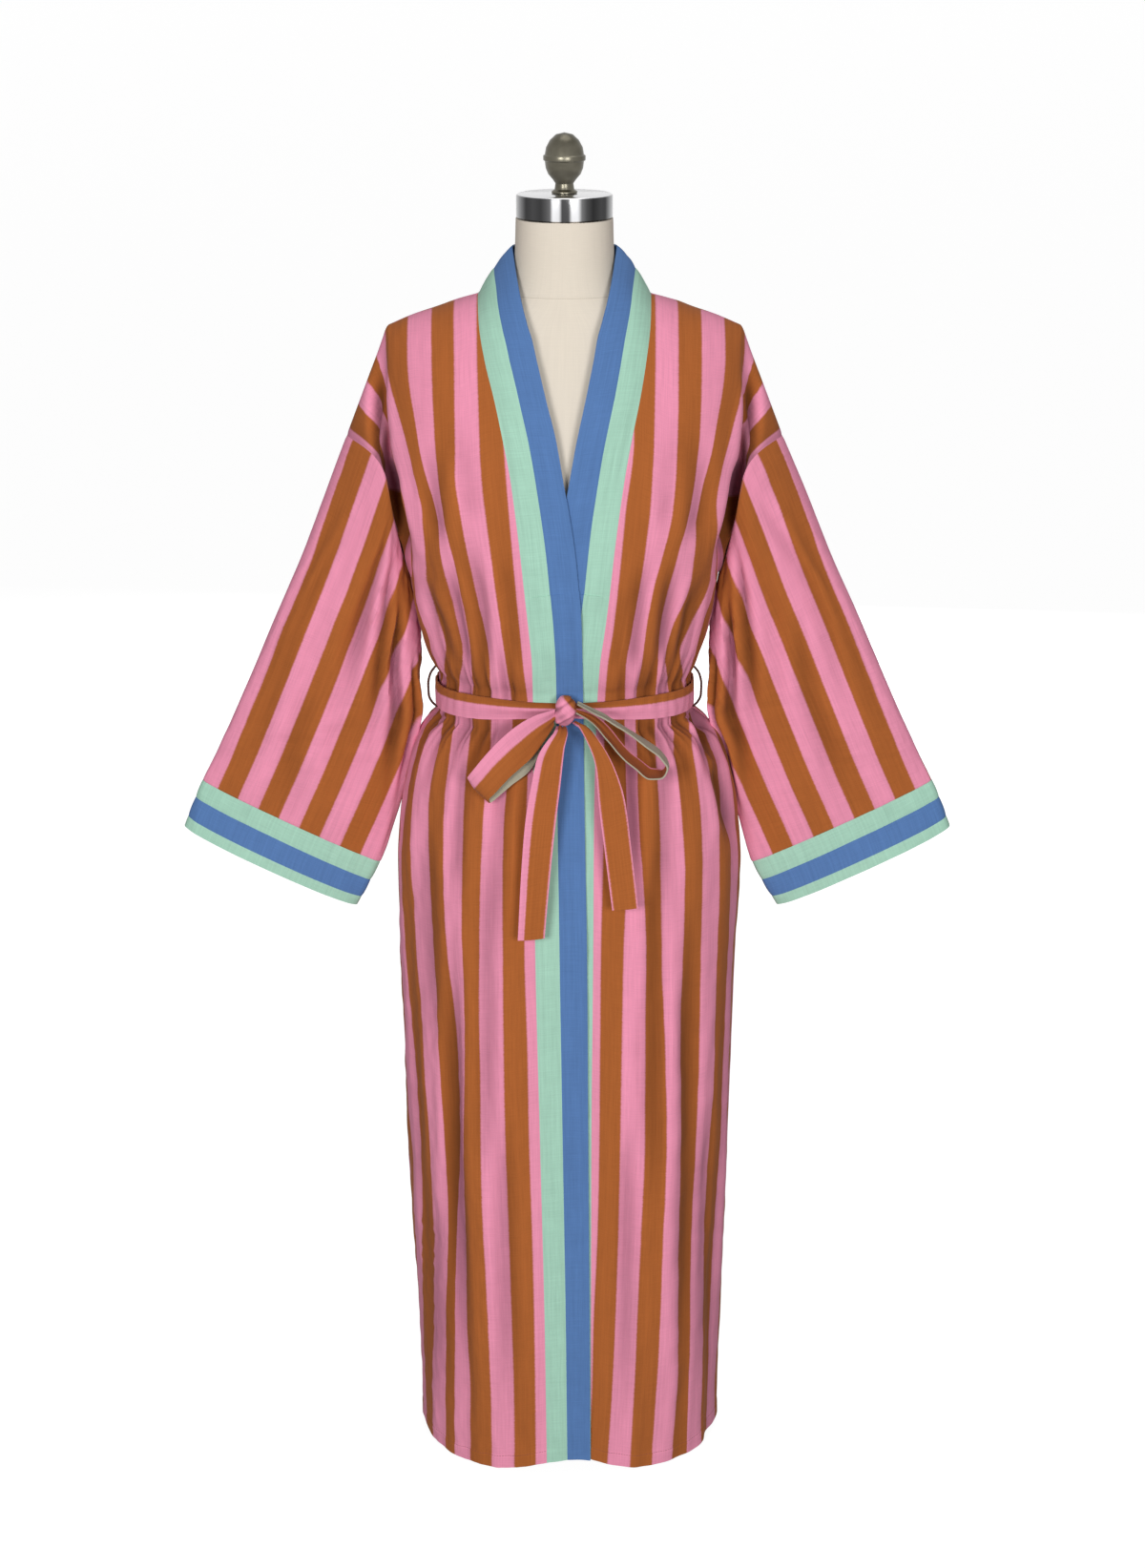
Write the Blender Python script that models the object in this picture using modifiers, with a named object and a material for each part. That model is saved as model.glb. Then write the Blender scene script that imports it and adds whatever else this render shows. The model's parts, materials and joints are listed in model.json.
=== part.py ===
import math

import bpy
import bmesh
import numpy as np

# Metres. The robe faces -Y, +Z is up and the wearer's right is -X.
# Every height in the tables is above the hem; LIFT then raises all of it above the floor.
WALL = 0.0016
ARMPIT_WALL = 0.0011
ARMPIT_EASE = 0.0009
SEAM_GAP = 0.0003
LIFT = 0.006
ARMPIT = 0.950
NECK_POINT_X = 0.0865
NECK_POINT_Z = 1.234
WRAP_DROP = 0.0036
SQUARENESS = 2.5
FRONT_LIP = 0.70
FRONT_VALLEY = 0.85
BACK_NECK = 0.36
BACK_LIP = 0.74
BACK_VALLEY = 0.87
FRONT_STEPS = (13, 3, 3)
BACK_STEPS = (5, 7, 3, 3)
ARMHOLE_STEPS = 10
ARMHOLE_LEAN = 1.4
ARMHOLE_DEPTH = 0.048
ARMPIT_ROUND = 0.007
VALLEY_DEPTH = 0.55
VALLEY_AT = 0.60
VALLEY_SPREAD = 0.26
BELT_THICKNESS = 0.0018
POLE_RADIUS = 0.011
BASE_RADIUS = 0.108


def table(names, *rows):
    return {name: np.array([row[i] for row in rows], float) for i, name in enumerate(names)}


# One row per height of the body: half widths on both sides, depth forward and depth back.
BODY = table(
    ("height", "right", "left", "front", "back"),
    (0.000, 0.1560, 0.1680, 0.1480, 0.1380),
    (0.129, 0.1600, 0.1700, 0.1470, 0.1370),
    (0.267, 0.1660, 0.1750, 0.1450, 0.1360),
    (0.401, 0.1710, 0.1780, 0.1420, 0.1350),
    (0.532, 0.1745, 0.1810, 0.1390, 0.1340),
    (0.640, 0.1765, 0.1840, 0.1350, 0.1310),
    (0.692, 0.1730, 0.1810, 0.1310, 0.1270),
    (0.744, 0.1640, 0.1720, 0.1240, 0.1190),
    (0.775, 0.1550, 0.1620, 0.1170, 0.1090),
    (0.793, 0.1450, 0.1490, 0.1110, 0.0990),
    (0.802, 0.1365, 0.1380, 0.1070, 0.0920),
    (0.808, 0.1305, 0.1305, 0.1045, 0.0860),
    (0.846, 0.1305, 0.1305, 0.1045, 0.0860),
    (0.854, 0.1350, 0.1338, 0.1070, 0.0885),
    (0.866, 0.1402, 0.1385, 0.1105, 0.0925),
    (0.888, 0.1470, 0.1460, 0.1155, 0.0970),
    (0.915, 0.1530, 0.1520, 0.1190, 0.1010),
    (0.950, 0.1580, 0.1580, 0.1220, 0.1050),
)

# One row per height of the centre front: distance from the centre of the seam that joins the
# band to its front, and where the band's free edge lies, positive past the centre.
BANDS = table(
    ("height", "right_seam", "right_free", "left_seam", "left_free"),
    (0.000, 0.0195, 0.0272, 0.0275, 0.0265),
    (0.157, 0.0212, 0.0262, 0.0275, 0.0262),
    (0.374, 0.0257, 0.0244, 0.0277, 0.0258),
    (0.583, 0.0300, 0.0228, 0.0292, 0.0244),
    (0.722, 0.0313, 0.0203, 0.0298, 0.0238),
    (0.825, 0.0318, 0.0190, 0.0325, 0.0212),
    (0.876, 0.0324, 0.0181, 0.0353, 0.0184),
    (0.917, 0.0358, 0.0170, 0.0406, 0.0132),
    (0.950, 0.0392, 0.0147, 0.0446, 0.0095),
    (0.997, 0.0441, 0.0103, 0.0497, 0.0048),
    (1.034, 0.0486, 0.0047, 0.0545, 0.0003),
    (1.071, 0.0538, -0.0019, 0.0600, -0.0060),
    (1.107, 0.0611, -0.0084, 0.0668, -0.0127),
    (1.143, 0.0691, -0.0177, 0.0745, -0.0208),
    (1.177, 0.0782, -0.0262, 0.0805, -0.0281),
    (1.211, 0.0846, -0.0357, 0.0852, -0.0357),
    (1.234, 0.0865, -0.0530, 0.0865, -0.0530),
)

# One row per height of the neck seam: how far the band's free edge stands above that seam
# and how far back of the chest front it lies, then the same edge round the back of the neck.
COLLAR_RISE = table(
    ("seam_height", "rise", "free_depth"),
    (0.950, 0.007, 0.1220),
    (1.021, 0.008, 0.1205),
    (1.068, 0.009, 0.1150),
    (1.117, 0.010, 0.1045),
    (1.164, 0.013, 0.0875),
    (1.202, 0.017, 0.0700),
    (1.2265, 0.029, 0.0400),
    (1.234, 0.048, 0.0000),
)
NECK_BACK_DEPTH = 0.066
NECK_BACK_HEIGHT = 1.224
COLLAR_TOP_X = 0.0530
COLLAR_TOP_Z = 1.282
COLLAR_BACK_DEPTH = 0.0560
COLLAR_BACK_HEIGHT = 1.278

# The fold along the top of the shoulder, from the neck out to the sleeve seam.
SHOULDER = table(
    ("x", "height"),
    (0.0865, 1.2340),
    (0.1000, 1.2305),
    (0.1270, 1.2215),
    (0.1540, 1.2125),
    (0.1760, 1.2030),
)
VALLEY_LIFT = 0.0220
SLEEVE_TOP = (0.2205, 1.0920)

# Gathers and long folds of the body: place across the panel (0 at the band or the centre
# back, 1 at the side), half width, depth, drift per metre of height, lowest and highest point
# and the height where it is deepest.
FOLD_NAMES = ("side", "place", "width", "depth", "drift", "low", "deep", "high")
FRONT_FOLDS = (
    (-1, 0.13, 0.070, 0.0030, 0.10, 0.700, 0.812, 0.900),
    (-1, 0.30, 0.075, 0.0036, 0.05, 0.690, 0.808, 0.985),
    (-1, 0.47, 0.075, 0.0038, 0.00, 0.660, 0.806, 0.960),
    (-1, 0.64, 0.080, 0.0042, -0.10, 0.700, 0.845, 1.030),
    (-1, 0.82, 0.080, 0.0034, -0.15, 0.640, 0.806, 0.900),
    (-1, 0.42, 0.085, 0.0044, 0.05, 0.000, 0.200, 0.640),
    (-1, 0.72, 0.090, 0.0040, 0.05, 0.060, 0.380, 0.700),
    (1, 0.15, 0.070, 0.0030, 0.10, 0.690, 0.808, 0.910),
    (1, 0.31, 0.075, 0.0038, 0.02, 0.700, 0.845, 1.010),
    (1, 0.46, 0.075, 0.0034, 0.00, 0.680, 0.806, 0.950),
    (1, 0.62, 0.080, 0.0044, -0.10, 0.670, 0.808, 1.020),
    (1, 0.80, 0.085, 0.0052, -0.12, 0.560, 0.790, 0.900),
    (1, 0.48, 0.085, 0.0040, 0.04, 0.000, 0.230, 0.600),
    (1, 0.76, 0.090, 0.0044, 0.03, 0.000, 0.330, 0.680),
)
BACK_FOLDS = (
    (-1, 0.10, 0.060, 0.0036, 0.00, 0.640, 0.808, 0.980),
    (-1, 0.28, 0.065, 0.0040, -0.05, 0.660, 0.845, 1.040),
    (-1, 0.46, 0.065, 0.0036, 0.00, 0.600, 0.806, 0.950),
    (-1, 0.64, 0.070, 0.0040, -0.08, 0.660, 0.840, 1.030),
    (-1, 0.82, 0.070, 0.0034, 0.00, 0.620, 0.806, 0.900),
    (-1, 0.36, 0.090, 0.0050, 0.04, 0.000, 0.260, 0.640),
    (-1, 0.70, 0.090, 0.0046, 0.02, 0.000, 0.320, 0.600),
    (1, 0.08, 0.060, 0.0034, 0.00, 0.660, 0.845, 1.010),
    (1, 0.26, 0.065, 0.0038, 0.03, 0.620, 0.808, 0.960),
    (1, 0.44, 0.065, 0.0040, -0.05, 0.660, 0.842, 1.050),
    (1, 0.62, 0.070, 0.0036, 0.00, 0.600, 0.806, 0.940),
    (1, 0.80, 0.070, 0.0040, -0.06, 0.650, 0.840, 0.930),
    (1, 0.20, 0.090, 0.0050, 0.02, 0.000, 0.240, 0.600),
    (1, 0.56, 0.090, 0.0048, 0.03, 0.000, 0.300, 0.660),
)

# How far the hem rises above its lowest points, by distance from the centre front.
HEM = table(
    ("x", "rise"),
    (-0.170, 0.0060),
    (-0.110, 0.0010),
    (-0.070, 0.0000),
    (-0.020, 0.0080),
    (0.015, 0.0110),
    (0.055, 0.0030),
    (0.090, 0.0000),
    (0.130, 0.0020),
    (0.180, 0.0060),
)

# One row per cross section of the sleeve, from the armhole (0) to the cuff seam (1) and the
# cuff's edge (2): outer fold, underarm edge on each side, half thickness, and sideways shift.
SLEEVE = table(
    ("at", "outer_x", "outer_z", "right_inner", "left_inner", "inner_z", "half", "left_out"),
    (0.000, 0.2205, 1.092, 0.1580, 0.1580, 0.950, 0.030, 0.0000),
    (0.143, 0.2450, 1.029, 0.1595, 0.1595, 0.915, 0.031, 0.0030),
    (0.286, 0.2705, 0.965, 0.1560, 0.1560, 0.880, 0.034, 0.0040),
    (0.430, 0.2970, 0.905, 0.1540, 0.1540, 0.845, 0.034, 0.0050),
    (0.572, 0.3230, 0.846, 0.1530, 0.1540, 0.805, 0.031, 0.0050),
    (0.715, 0.3460, 0.795, 0.1625, 0.1700, 0.765, 0.027, 0.0050),
    (0.858, 0.3625, 0.760, 0.1735, 0.1820, 0.712, 0.021, 0.0050),
    (1.000, 0.3790, 0.727, 0.1945, 0.1970, 0.637, 0.015, 0.0050),
    (2.000, 0.3995, 0.677, 0.2207, 0.2240, 0.590, 0.024, 0.0050),
)
CUFF_STRIPS = (0.0, 0.36, 0.83, 1.0)

# Folds of a sleeve: place round it (0 outer fold, 0.25 middle of the front, 0.5 underarm,
# 0.75 middle of the back), half width, depth, drift per unit along, first, deepest and last.
SLEEVE_FOLDS = (
    (0.17, 0.050, 0.0035, 0.03, 0.02, 0.25, 0.80),
    (0.27, 0.050, 0.0050, 0.02, 0.05, 0.35, 0.95),
    (0.37, 0.050, 0.0045, -0.02, 0.10, 0.45, 0.97),
    (0.68, 0.055, 0.0045, 0.02, 0.04, 0.35, 0.90),
    (0.81, 0.055, 0.0040, -0.02, 0.05, 0.30, 0.85),
)

# Sections of the dress form: half width, depth forward and depth back at each height.
FORM = (
    (0.6000, 0.1080, 0.0820, 0.0900),
    (0.6060, 0.1140, 0.0870, 0.0950),
    (0.6400, 0.1230, 0.0930, 0.1020),
    (0.7000, 0.1270, 0.0950, 0.1040),
    (0.7600, 0.1170, 0.0890, 0.0880),
    (0.8250, 0.1060, 0.0810, 0.0700),
    (0.8900, 0.1160, 0.0890, 0.0760),
    (0.9500, 0.1320, 0.1010, 0.0850),
    (1.0100, 0.1420, 0.1050, 0.0890),
    (1.0700, 0.1460, 0.1010, 0.0890),
    (1.1200, 0.1490, 0.0900, 0.0800),
    (1.1550, 0.1520, 0.0780, 0.0690),
    (1.1820, 0.1500, 0.0690, 0.0600),
    (1.1990, 0.1400, 0.0620, 0.0530),
    (1.2115, 0.1160, 0.0580, 0.0500),
    (1.2215, 0.0880, 0.0560, 0.0490),
    (1.2290, 0.0700, 0.0545, 0.0485),
    (1.2380, 0.0602, 0.0530, 0.0480),
    (1.2510, 0.0533, 0.0512, 0.0477),
    (1.2700, 0.0498, 0.0494, 0.0475),
    (1.3090, 0.0484, 0.0484, 0.0477),
)
FORM_STEPS = 28
CAP_PROFILE = (
    (0.0000, 1.3094), (0.0466, 1.3094), (0.0480, 1.3106), (0.0480, 1.3318),
    (0.0466, 1.3333), (0.0000, 1.3333),
)
KNOB_PROFILE = (
    (0.0000, 1.3336), (0.0128, 1.3336), (0.0128, 1.3352), (0.0098, 1.3372),
    (0.0090, 1.3430), (0.0118, 1.3470), (0.0162, 1.3520), (0.0186, 1.3580),
    (0.0194, 1.3646), (0.0210, 1.3656), (0.0210, 1.3700), (0.0194, 1.3710),
    (0.0182, 1.3780), (0.0144, 1.3850), (0.0084, 1.3905), (0.0000, 1.3925),
)
POLE_PROFILE = (
    (0.0000, 0.0013), (POLE_RADIUS, 0.0013), (POLE_RADIUS, 0.5997), (0.0000, 0.5997),
)
BASE_PROFILE = (
    (0.0000, -LIFT), (BASE_RADIUS, -LIFT), (BASE_RADIUS, -0.0020), (BASE_RADIUS - 0.004, 0.0000),
    (0.0300, 0.0010), (0.0000, 0.0010),
)

# The belt: half widths, depths and middle height of the ring, half its height.
BELT_WIDTH = 0.1316
BELT_FRONT = 0.1057
BELT_BACK = 0.0872
BELT_SIDE_HEIGHT = 0.8235
BELT_FRONT_HEIGHT = 0.8310
BELT_HALF = 0.0128
BELT_KNOT_HALF = 0.0095
BELT_STEPS = 52

# The bow: both edges of each ribbon at each station, x, y and height.
RIGHT_LOOP = (
    (-0.0104, -0.1230, 0.8370, -0.0110, -0.1230, 0.8200),
    (-0.0266, -0.1300, 0.8337, -0.0190, -0.1290, 0.8080),
    (-0.0500, -0.1350, 0.8215, -0.0342, -0.1335, 0.7885),
    (-0.0730, -0.1380, 0.8002, -0.0535, -0.1365, 0.7715),
    (-0.0900, -0.1385, 0.7800, -0.0692, -0.1375, 0.7545),
    (-0.0965, -0.1350, 0.7712, -0.0755, -0.1340, 0.7472),
    (-0.0950, -0.1300, 0.7725, -0.0735, -0.1290, 0.7455),
    (-0.0745, -0.1268, 0.7945, -0.0520, -0.1260, 0.7640),
    (-0.0520, -0.1245, 0.8130, -0.0310, -0.1240, 0.7815),
    (-0.0250, -0.1200, 0.8290, -0.0185, -0.1200, 0.8100),
    (-0.0118, -0.1185, 0.8350, -0.0118, -0.1185, 0.8215),
)
LEFT_LOOP = (
    (0.0126, -0.1290, 0.8438, 0.0126, -0.1195, 0.8428),
    (0.0355, -0.1490, 0.8370, 0.0348, -0.1230, 0.8335),
    (0.0548, -0.1525, 0.8255, 0.0553, -0.1255, 0.8222),
    (0.0785, -0.1535, 0.8090, 0.0800, -0.1265, 0.8065),
    (0.0957, -0.1535, 0.7945, 0.0972, -0.1265, 0.7925),
    (0.1022, -0.1535, 0.7835, 0.1033, -0.1265, 0.7825),
    (0.0968, -0.1525, 0.7745, 0.0976, -0.1265, 0.7748),
    (0.0855, -0.1515, 0.7725, 0.0876, -0.1265, 0.7765),
    (0.0700, -0.1495, 0.7828, 0.0727, -0.1260, 0.7872),
    (0.0560, -0.1475, 0.7958, 0.0592, -0.1250, 0.8000),
    (0.0415, -0.1425, 0.8120, 0.0445, -0.1240, 0.8175),
    (0.0270, -0.1340, 0.8270, 0.0285, -0.1215, 0.8310),
    (0.0118, -0.1280, 0.8345, 0.0118, -0.1195, 0.8365),
)
RIGHT_TAIL = (
    (-0.0085, -0.1200, 0.8178, 0.0020, -0.1200, 0.8172),
    (-0.0100, -0.1310, 0.8160, 0.0032, -0.1310, 0.8140),
    (-0.0185, -0.1415, 0.8075, 0.0000, -0.1415, 0.8020),
    (-0.0266, -0.1450, 0.7940, -0.0016, -0.1445, 0.7890),
    (-0.0333, -0.1475, 0.7637, -0.0046, -0.1475, 0.7607),
    (-0.0395, -0.1495, 0.7244, -0.0088, -0.1505, 0.7260),
    (-0.0441, -0.1520, 0.6649, -0.0144, -0.1530, 0.6720),
    (-0.0473, -0.1540, 0.6030, -0.0202, -0.1550, 0.6055),
)
LEFT_TAIL = (
    (0.0082, -0.1205, 0.8225, 0.0160, -0.1205, 0.8205),
    (0.0125, -0.1310, 0.8225, 0.0230, -0.1305, 0.8200),
    (0.0232, -0.1390, 0.8060, 0.0370, -0.1385, 0.8050),
    (0.0308, -0.1440, 0.7837, 0.0490, -0.1440, 0.7840),
    (0.0345, -0.1480, 0.7437, 0.0600, -0.1485, 0.7510),
    (0.0412, -0.1510, 0.6895, 0.0672, -0.1515, 0.6980),
    (0.0481, -0.1540, 0.6350, 0.0740, -0.1545, 0.6380),
)
KNOT_CENTRE = (0.0005, -0.1190, 0.8345)
KNOT_HALF = (0.0108, 0.0110, 0.0155)
KNOT_TILT = 0.16

# The thread loops: height, and how far beyond the side seam.
CARRIER = (
    (0.8610, 0.0011), (0.8560, 0.0072), (0.8430, 0.0145), (0.8280, 0.0152), (0.8130, 0.0141),
    (0.8040, 0.0082), (0.7995, 0.0020),
)
CARRIER_RADIUS = 0.0007

CLOTH = (0.80, 0.40, 0.50, 1.0)
MINT = (0.45, 0.75, 0.62, 1.0)
BLUE = (0.13, 0.24, 0.55, 1.0)
BROWN = (0.45, 0.19, 0.05, 1.0)
CREAM = (0.80, 0.74, 0.64, 1.0)
CHROME = (0.75, 0.75, 0.76, 1.0)
BRONZE = (0.22, 0.19, 0.15, 1.0)


def start():
    for item in list(bpy.data.objects):
        bpy.data.objects.remove(item, do_unlink=True)
    group = bpy.data.collections.new("kimono_robe_on_dress_form")
    bpy.context.scene.collection.children.link(group)
    return group


PART = start()


def through(xs, ys, at):
    """Smooth curve through the rows of a table that never overshoots them."""
    step = np.diff(xs)
    slope = np.diff(ys) / step
    tangent = np.zeros_like(ys)
    tangent[0] = slope[0]
    tangent[-1] = slope[-1]
    before = slope[:-1]
    after = slope[1:]
    same = before * after > 0
    total = 3.0 * (step[:-1] + step[1:])
    safe_before = np.where(same, before, 1.0)
    safe_after = np.where(same, after, 1.0)
    mean = total / ((2 * step[1:] + step[:-1]) / safe_before + (step[1:] + 2 * step[:-1]) / safe_after)
    tangent[1:-1] = np.where(same, mean, 0.0)
    at = np.clip(at, xs[0], xs[-1])
    i = np.clip(np.searchsorted(xs, at, side="right") - 1, 0, len(step) - 1)
    t = (at - xs[i]) / step[i]
    return (
        ys[i] * (1 + 2 * t) * (1 - t) ** 2
        + tangent[i] * step[i] * t * (1 - t) ** 2
        + ys[i + 1] * t * t * (3 - 2 * t)
        + tangent[i + 1] * step[i] * t * t * (t - 1)
    )


def ease(t):
    t = np.clip(t, 0.0, 1.0)
    return t * t * (3 - 2 * t)


def signed_power(value, power):
    return np.sign(value) * np.abs(value) ** power


def stack(x, y, z):
    return np.stack(np.broadcast_arrays(x, y, z), axis=-1)


def ring(side, half, height, angle):
    """Point of the body's cross section; angle 0 is the centre and a quarter turn the side."""
    power = 2.0 / SQUARENESS
    width = through(BODY["height"], BODY["right" if side < 0 else "left"], height)
    depth = through(BODY["height"], BODY[half], height)
    facing = -1.0 if half == "front" else 1.0
    x = side * width * signed_power(np.sin(angle), power)
    y = facing * depth * signed_power(np.cos(angle), power)
    return stack(x, y, height)


def seam_x(side, height):
    name = "right_seam" if side < 0 else "left_seam"
    return through(BANDS["height"], BANDS[name], height)


def start_angle(side, half, height):
    if half == "back":
        return 0.0 * height
    width = through(BODY["height"], BODY["right" if side < 0 else "left"], height)
    return np.arcsin((seam_x(side, height) / width) ** (SQUARENESS / 2.0))


def ring_at(side, half, height, s):
    first = start_angle(side, half, height)
    return ring(side, half, height, first + (math.pi / 2 - first) * s)


def spline(a, ta, b, tb, t):
    t = t[..., None]
    return (
        a * (1 + 2 * t) * (1 - t) ** 2
        + ta * t * (1 - t) ** 2
        + b * t * t * (3 - 2 * t)
        + tb * t * t * (t - 1)
    )


def chest(side, half, s, turn):
    """Body above the armpit, from the band or the centre back out to the lip of the armhole."""
    lip = FRONT_LIP if half == "front" else BACK_LIP
    rise = np.sin(turn)
    zero = np.zeros_like(s * turn)
    low = ring_at(side, half, zero + ARMPIT, s + zero)
    low_lip = ring_at(side, half, zero + ARMPIT, lip + zero)
    low_in = ring_at(side, half, zero + ARMPIT, zero)
    reach = rise * (1 + 0.9 * np.abs(np.cos(turn)) ** 3)
    if half == "front":
        fraction = (low[..., 0] - low_in[..., 0]) / (low_lip[..., 0] - low_in[..., 0])
        edge = seam_x(side, ARMPIT + (NECK_POINT_Z - ARMPIT) * rise)
        lip_x = np.abs(low_lip[..., 0])
        lip_x = lip_x + (SHOULDER["x"][-1] - lip_x) * reach
        top_x = NECK_POINT_X + fraction * (SHOULDER["x"][-1] - NECK_POINT_X)
        x = side * (edge + fraction * (lip_x - edge))
        top_y = zero
        top_z = through(SHOULDER["x"], SHOULDER["height"], top_x)
    else:
        round_neck = np.clip(s / BACK_NECK, -1.0, 1.0) * math.pi / 2 + zero
        along = np.clip((s - BACK_NECK) / (BACK_LIP - BACK_NECK), 0.0, 2.0) + zero
        top_x = NECK_POINT_X * np.sin(round_neck) + along * (SHOULDER["x"][-1] - NECK_POINT_X)
        top_y = NECK_BACK_DEPTH * np.cos(round_neck) * np.abs(rise) ** 6
        on_shoulder = through(SHOULDER["x"], SHOULDER["height"], top_x)
        on_neck = NECK_BACK_HEIGHT + (NECK_POINT_Z - NECK_BACK_HEIGHT) * np.sin(round_neck) ** 2
        top_z = np.where(s + zero < BACK_NECK, on_neck, on_shoulder)
        x = low[..., 0] + (side * top_x - low[..., 0]) * reach
        x = np.where(reach > 1.0, side * top_x, x)
    y = top_y + low[..., 1] * signed_power(np.cos(turn), 1.0 if half == "front" else 0.75)
    z = ARMPIT + (top_z - ARMPIT) * rise
    return stack(x, y, z)


def armhole_depth(turn, rise):
    """How far the armhole seam lies from the side, rounded where it turns under the arm."""
    bottom = ARMPIT_ROUND * (1 - np.exp(-rise / 0.02)) * (1 - ease(rise / 0.6))
    return ARMHOLE_DEPTH * np.sin(2 * turn) * (0.45 + 0.55 * ease(rise / 0.5)) + bottom


def armhole(side, half, turn):
    """The seam between body and sleeve, from the armpit (0) up to the shoulder (quarter turn)."""
    facing = -1.0 if half == "front" else 1.0
    rise = np.abs(np.sin(turn))
    x = BODY["right"][-1] + (SLEEVE_TOP[0] - BODY["right"][-1]) * rise ** ARMHOLE_LEAN
    y = facing * armhole_depth(turn, rise)
    z = ARMPIT + (SLEEVE_TOP[1] - ARMPIT) * rise
    return stack(side * x, y, z)


def body_base(side, half, s, r):
    """Body surface: s across, r up (0 hem, 1 armpit, 2 shoulder)."""
    s, r = np.broadcast_arrays(np.asarray(s, float), np.asarray(r, float))
    lip = FRONT_LIP if half == "front" else BACK_LIP
    valley = FRONT_VALLEY if half == "front" else BACK_VALLEY
    height = np.clip(r, None, 1.0) * ARMPIT
    turn = np.clip(r - 1.0, 0.0, None) * math.pi / 2
    upper = r > 1.0
    zero = np.zeros_like(s)
    d = 0.01

    def inner(at):
        low = ring_at(side, half, height, at)
        high = chest(side, half, at, turn)
        return np.where(upper[..., None], high, low)

    plain = inner(s)
    lip_point = inner(zero + lip)
    lip_tangent = (inner(zero + lip + d) - inner(zero + lip - d)) / (2 * d) * (valley - lip)
    low_valley = ring_at(side, half, height, zero + valley)
    rise = np.sin(turn)
    low_side = ring_at(side, half, height, zero + 1.0)
    side_point = np.where(upper[..., None], armhole(side, half, turn), low_side)
    between = lip_point + (side_point - lip_point) * np.array((0.32, 0.5, 0.5))
    pinch = VALLEY_DEPTH * np.exp(-((turn - VALLEY_AT) / VALLEY_SPREAD) ** 2)
    from_low = ease(rise / 0.15)
    high_valley = stack(
        low_valley[..., 0] + (between[..., 0] - low_valley[..., 0]) * from_low,
        low_valley[..., 1] * signed_power(np.cos(turn), 0.8) * (1 - pinch * from_low),
        height + (between[..., 2] - height) * from_low + VALLEY_LIFT * rise ** 4,
    )
    valley_point = np.where(upper[..., None], high_valley, low_valley)
    side_tangent = (
        ring_at(side, half, height, zero + 1.06) - ring_at(side, half, height, zero + 0.94)
    ) / 0.12 * (1 - valley)
    turned = ease(rise / 0.25)[..., None]
    side_tangent = side_tangent + (side_point - valley_point - side_tangent) * turned
    deep = (pinch / VALLEY_DEPTH * from_low)[..., None]
    plain_tangent = (side_point - lip_point) / 2
    floor_tangent = plain_tangent * np.array((1.0, 0.3, 0.4)) + stack(side * 0.006, 0.0, 0.0)
    valley_tangent = plain_tangent + (floor_tangent - plain_tangent) * deep
    first = spline(lip_point, lip_tangent, valley_point, valley_tangent,
                   (s - lip) / (valley - lip))
    second = spline(valley_point, valley_tangent, side_point, side_tangent,
                    (s - valley) / (1 - valley))
    outer = np.where((s > valley)[..., None], second, first)
    point = np.where((s > lip)[..., None], outer, plain)
    low_hem = through(HEM["x"], HEM["rise"], point[..., 0]) * (1 - ease(point[..., 2] / 0.10))
    if half == "back":
        low_hem = 0.006 * (1 - ease(point[..., 2] / 0.10))
    point = point + stack(0.0, 0.0, low_hem)
    if half == "front" and side > 0:
        inward = 1 - ease((np.abs(point[..., 0]) - 0.036) / 0.045)
        inward = inward * (1 - ease((point[..., 2] - 1.050) / 0.06)) * WRAP_DROP
        point = point + stack(0.0, inward, 0.0)
    return point


def normal_of(surface, s, r, sign, eps=0.004):
    across = surface(s + eps, r) - surface(s - eps, r)
    along = surface(s, r + eps) - surface(s, r - eps)
    face = np.cross(across, along) * sign
    return face / np.maximum(np.linalg.norm(face, axis=-1, keepdims=True), 1e-12)


def fold_depth(rows, side, s, height):
    total = np.zeros(np.broadcast(s, height).shape)
    for row in rows:
        if row[0] != side:
            continue
        fold = dict(zip(FOLD_NAMES, row))
        centre = fold["place"] + fold["drift"] * (height - 0.825)
        shape = 0.5 * (1 + np.cos(math.pi * np.clip((s - centre) / fold["width"], -1, 1)))
        up = ease((height - fold["low"]) / max(fold["deep"] - fold["low"], 1e-6))
        down = ease((fold["high"] - height) / max(fold["high"] - fold["deep"], 1e-6))
        if fold["low"] <= 0:
            up = 0.55 + 0.45 * up
        total = total + fold["depth"] * shape * up * down
    return total


def body_point(side, half, s, r):
    base = body_base(side, half, s, r)
    sign = side if half == "front" else -side
    normal = normal_of(lambda a, b: body_base(side, half, a, b), s, r, sign)
    rows = FRONT_FOLDS if half == "front" else BACK_FOLDS
    depth = fold_depth(rows, side, s, base[..., 2])
    return base - normal * depth[..., None]


def body_grid(side, half, columns, rows):
    s, r = np.meshgrid(np.asarray(columns, float), np.asarray(rows, float))
    sign = side if half == "front" else -side
    outer = body_point(side, half, s, r)
    return outer, normal_of(lambda a, b: body_point(side, half, a, b), s, r, sign)


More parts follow.
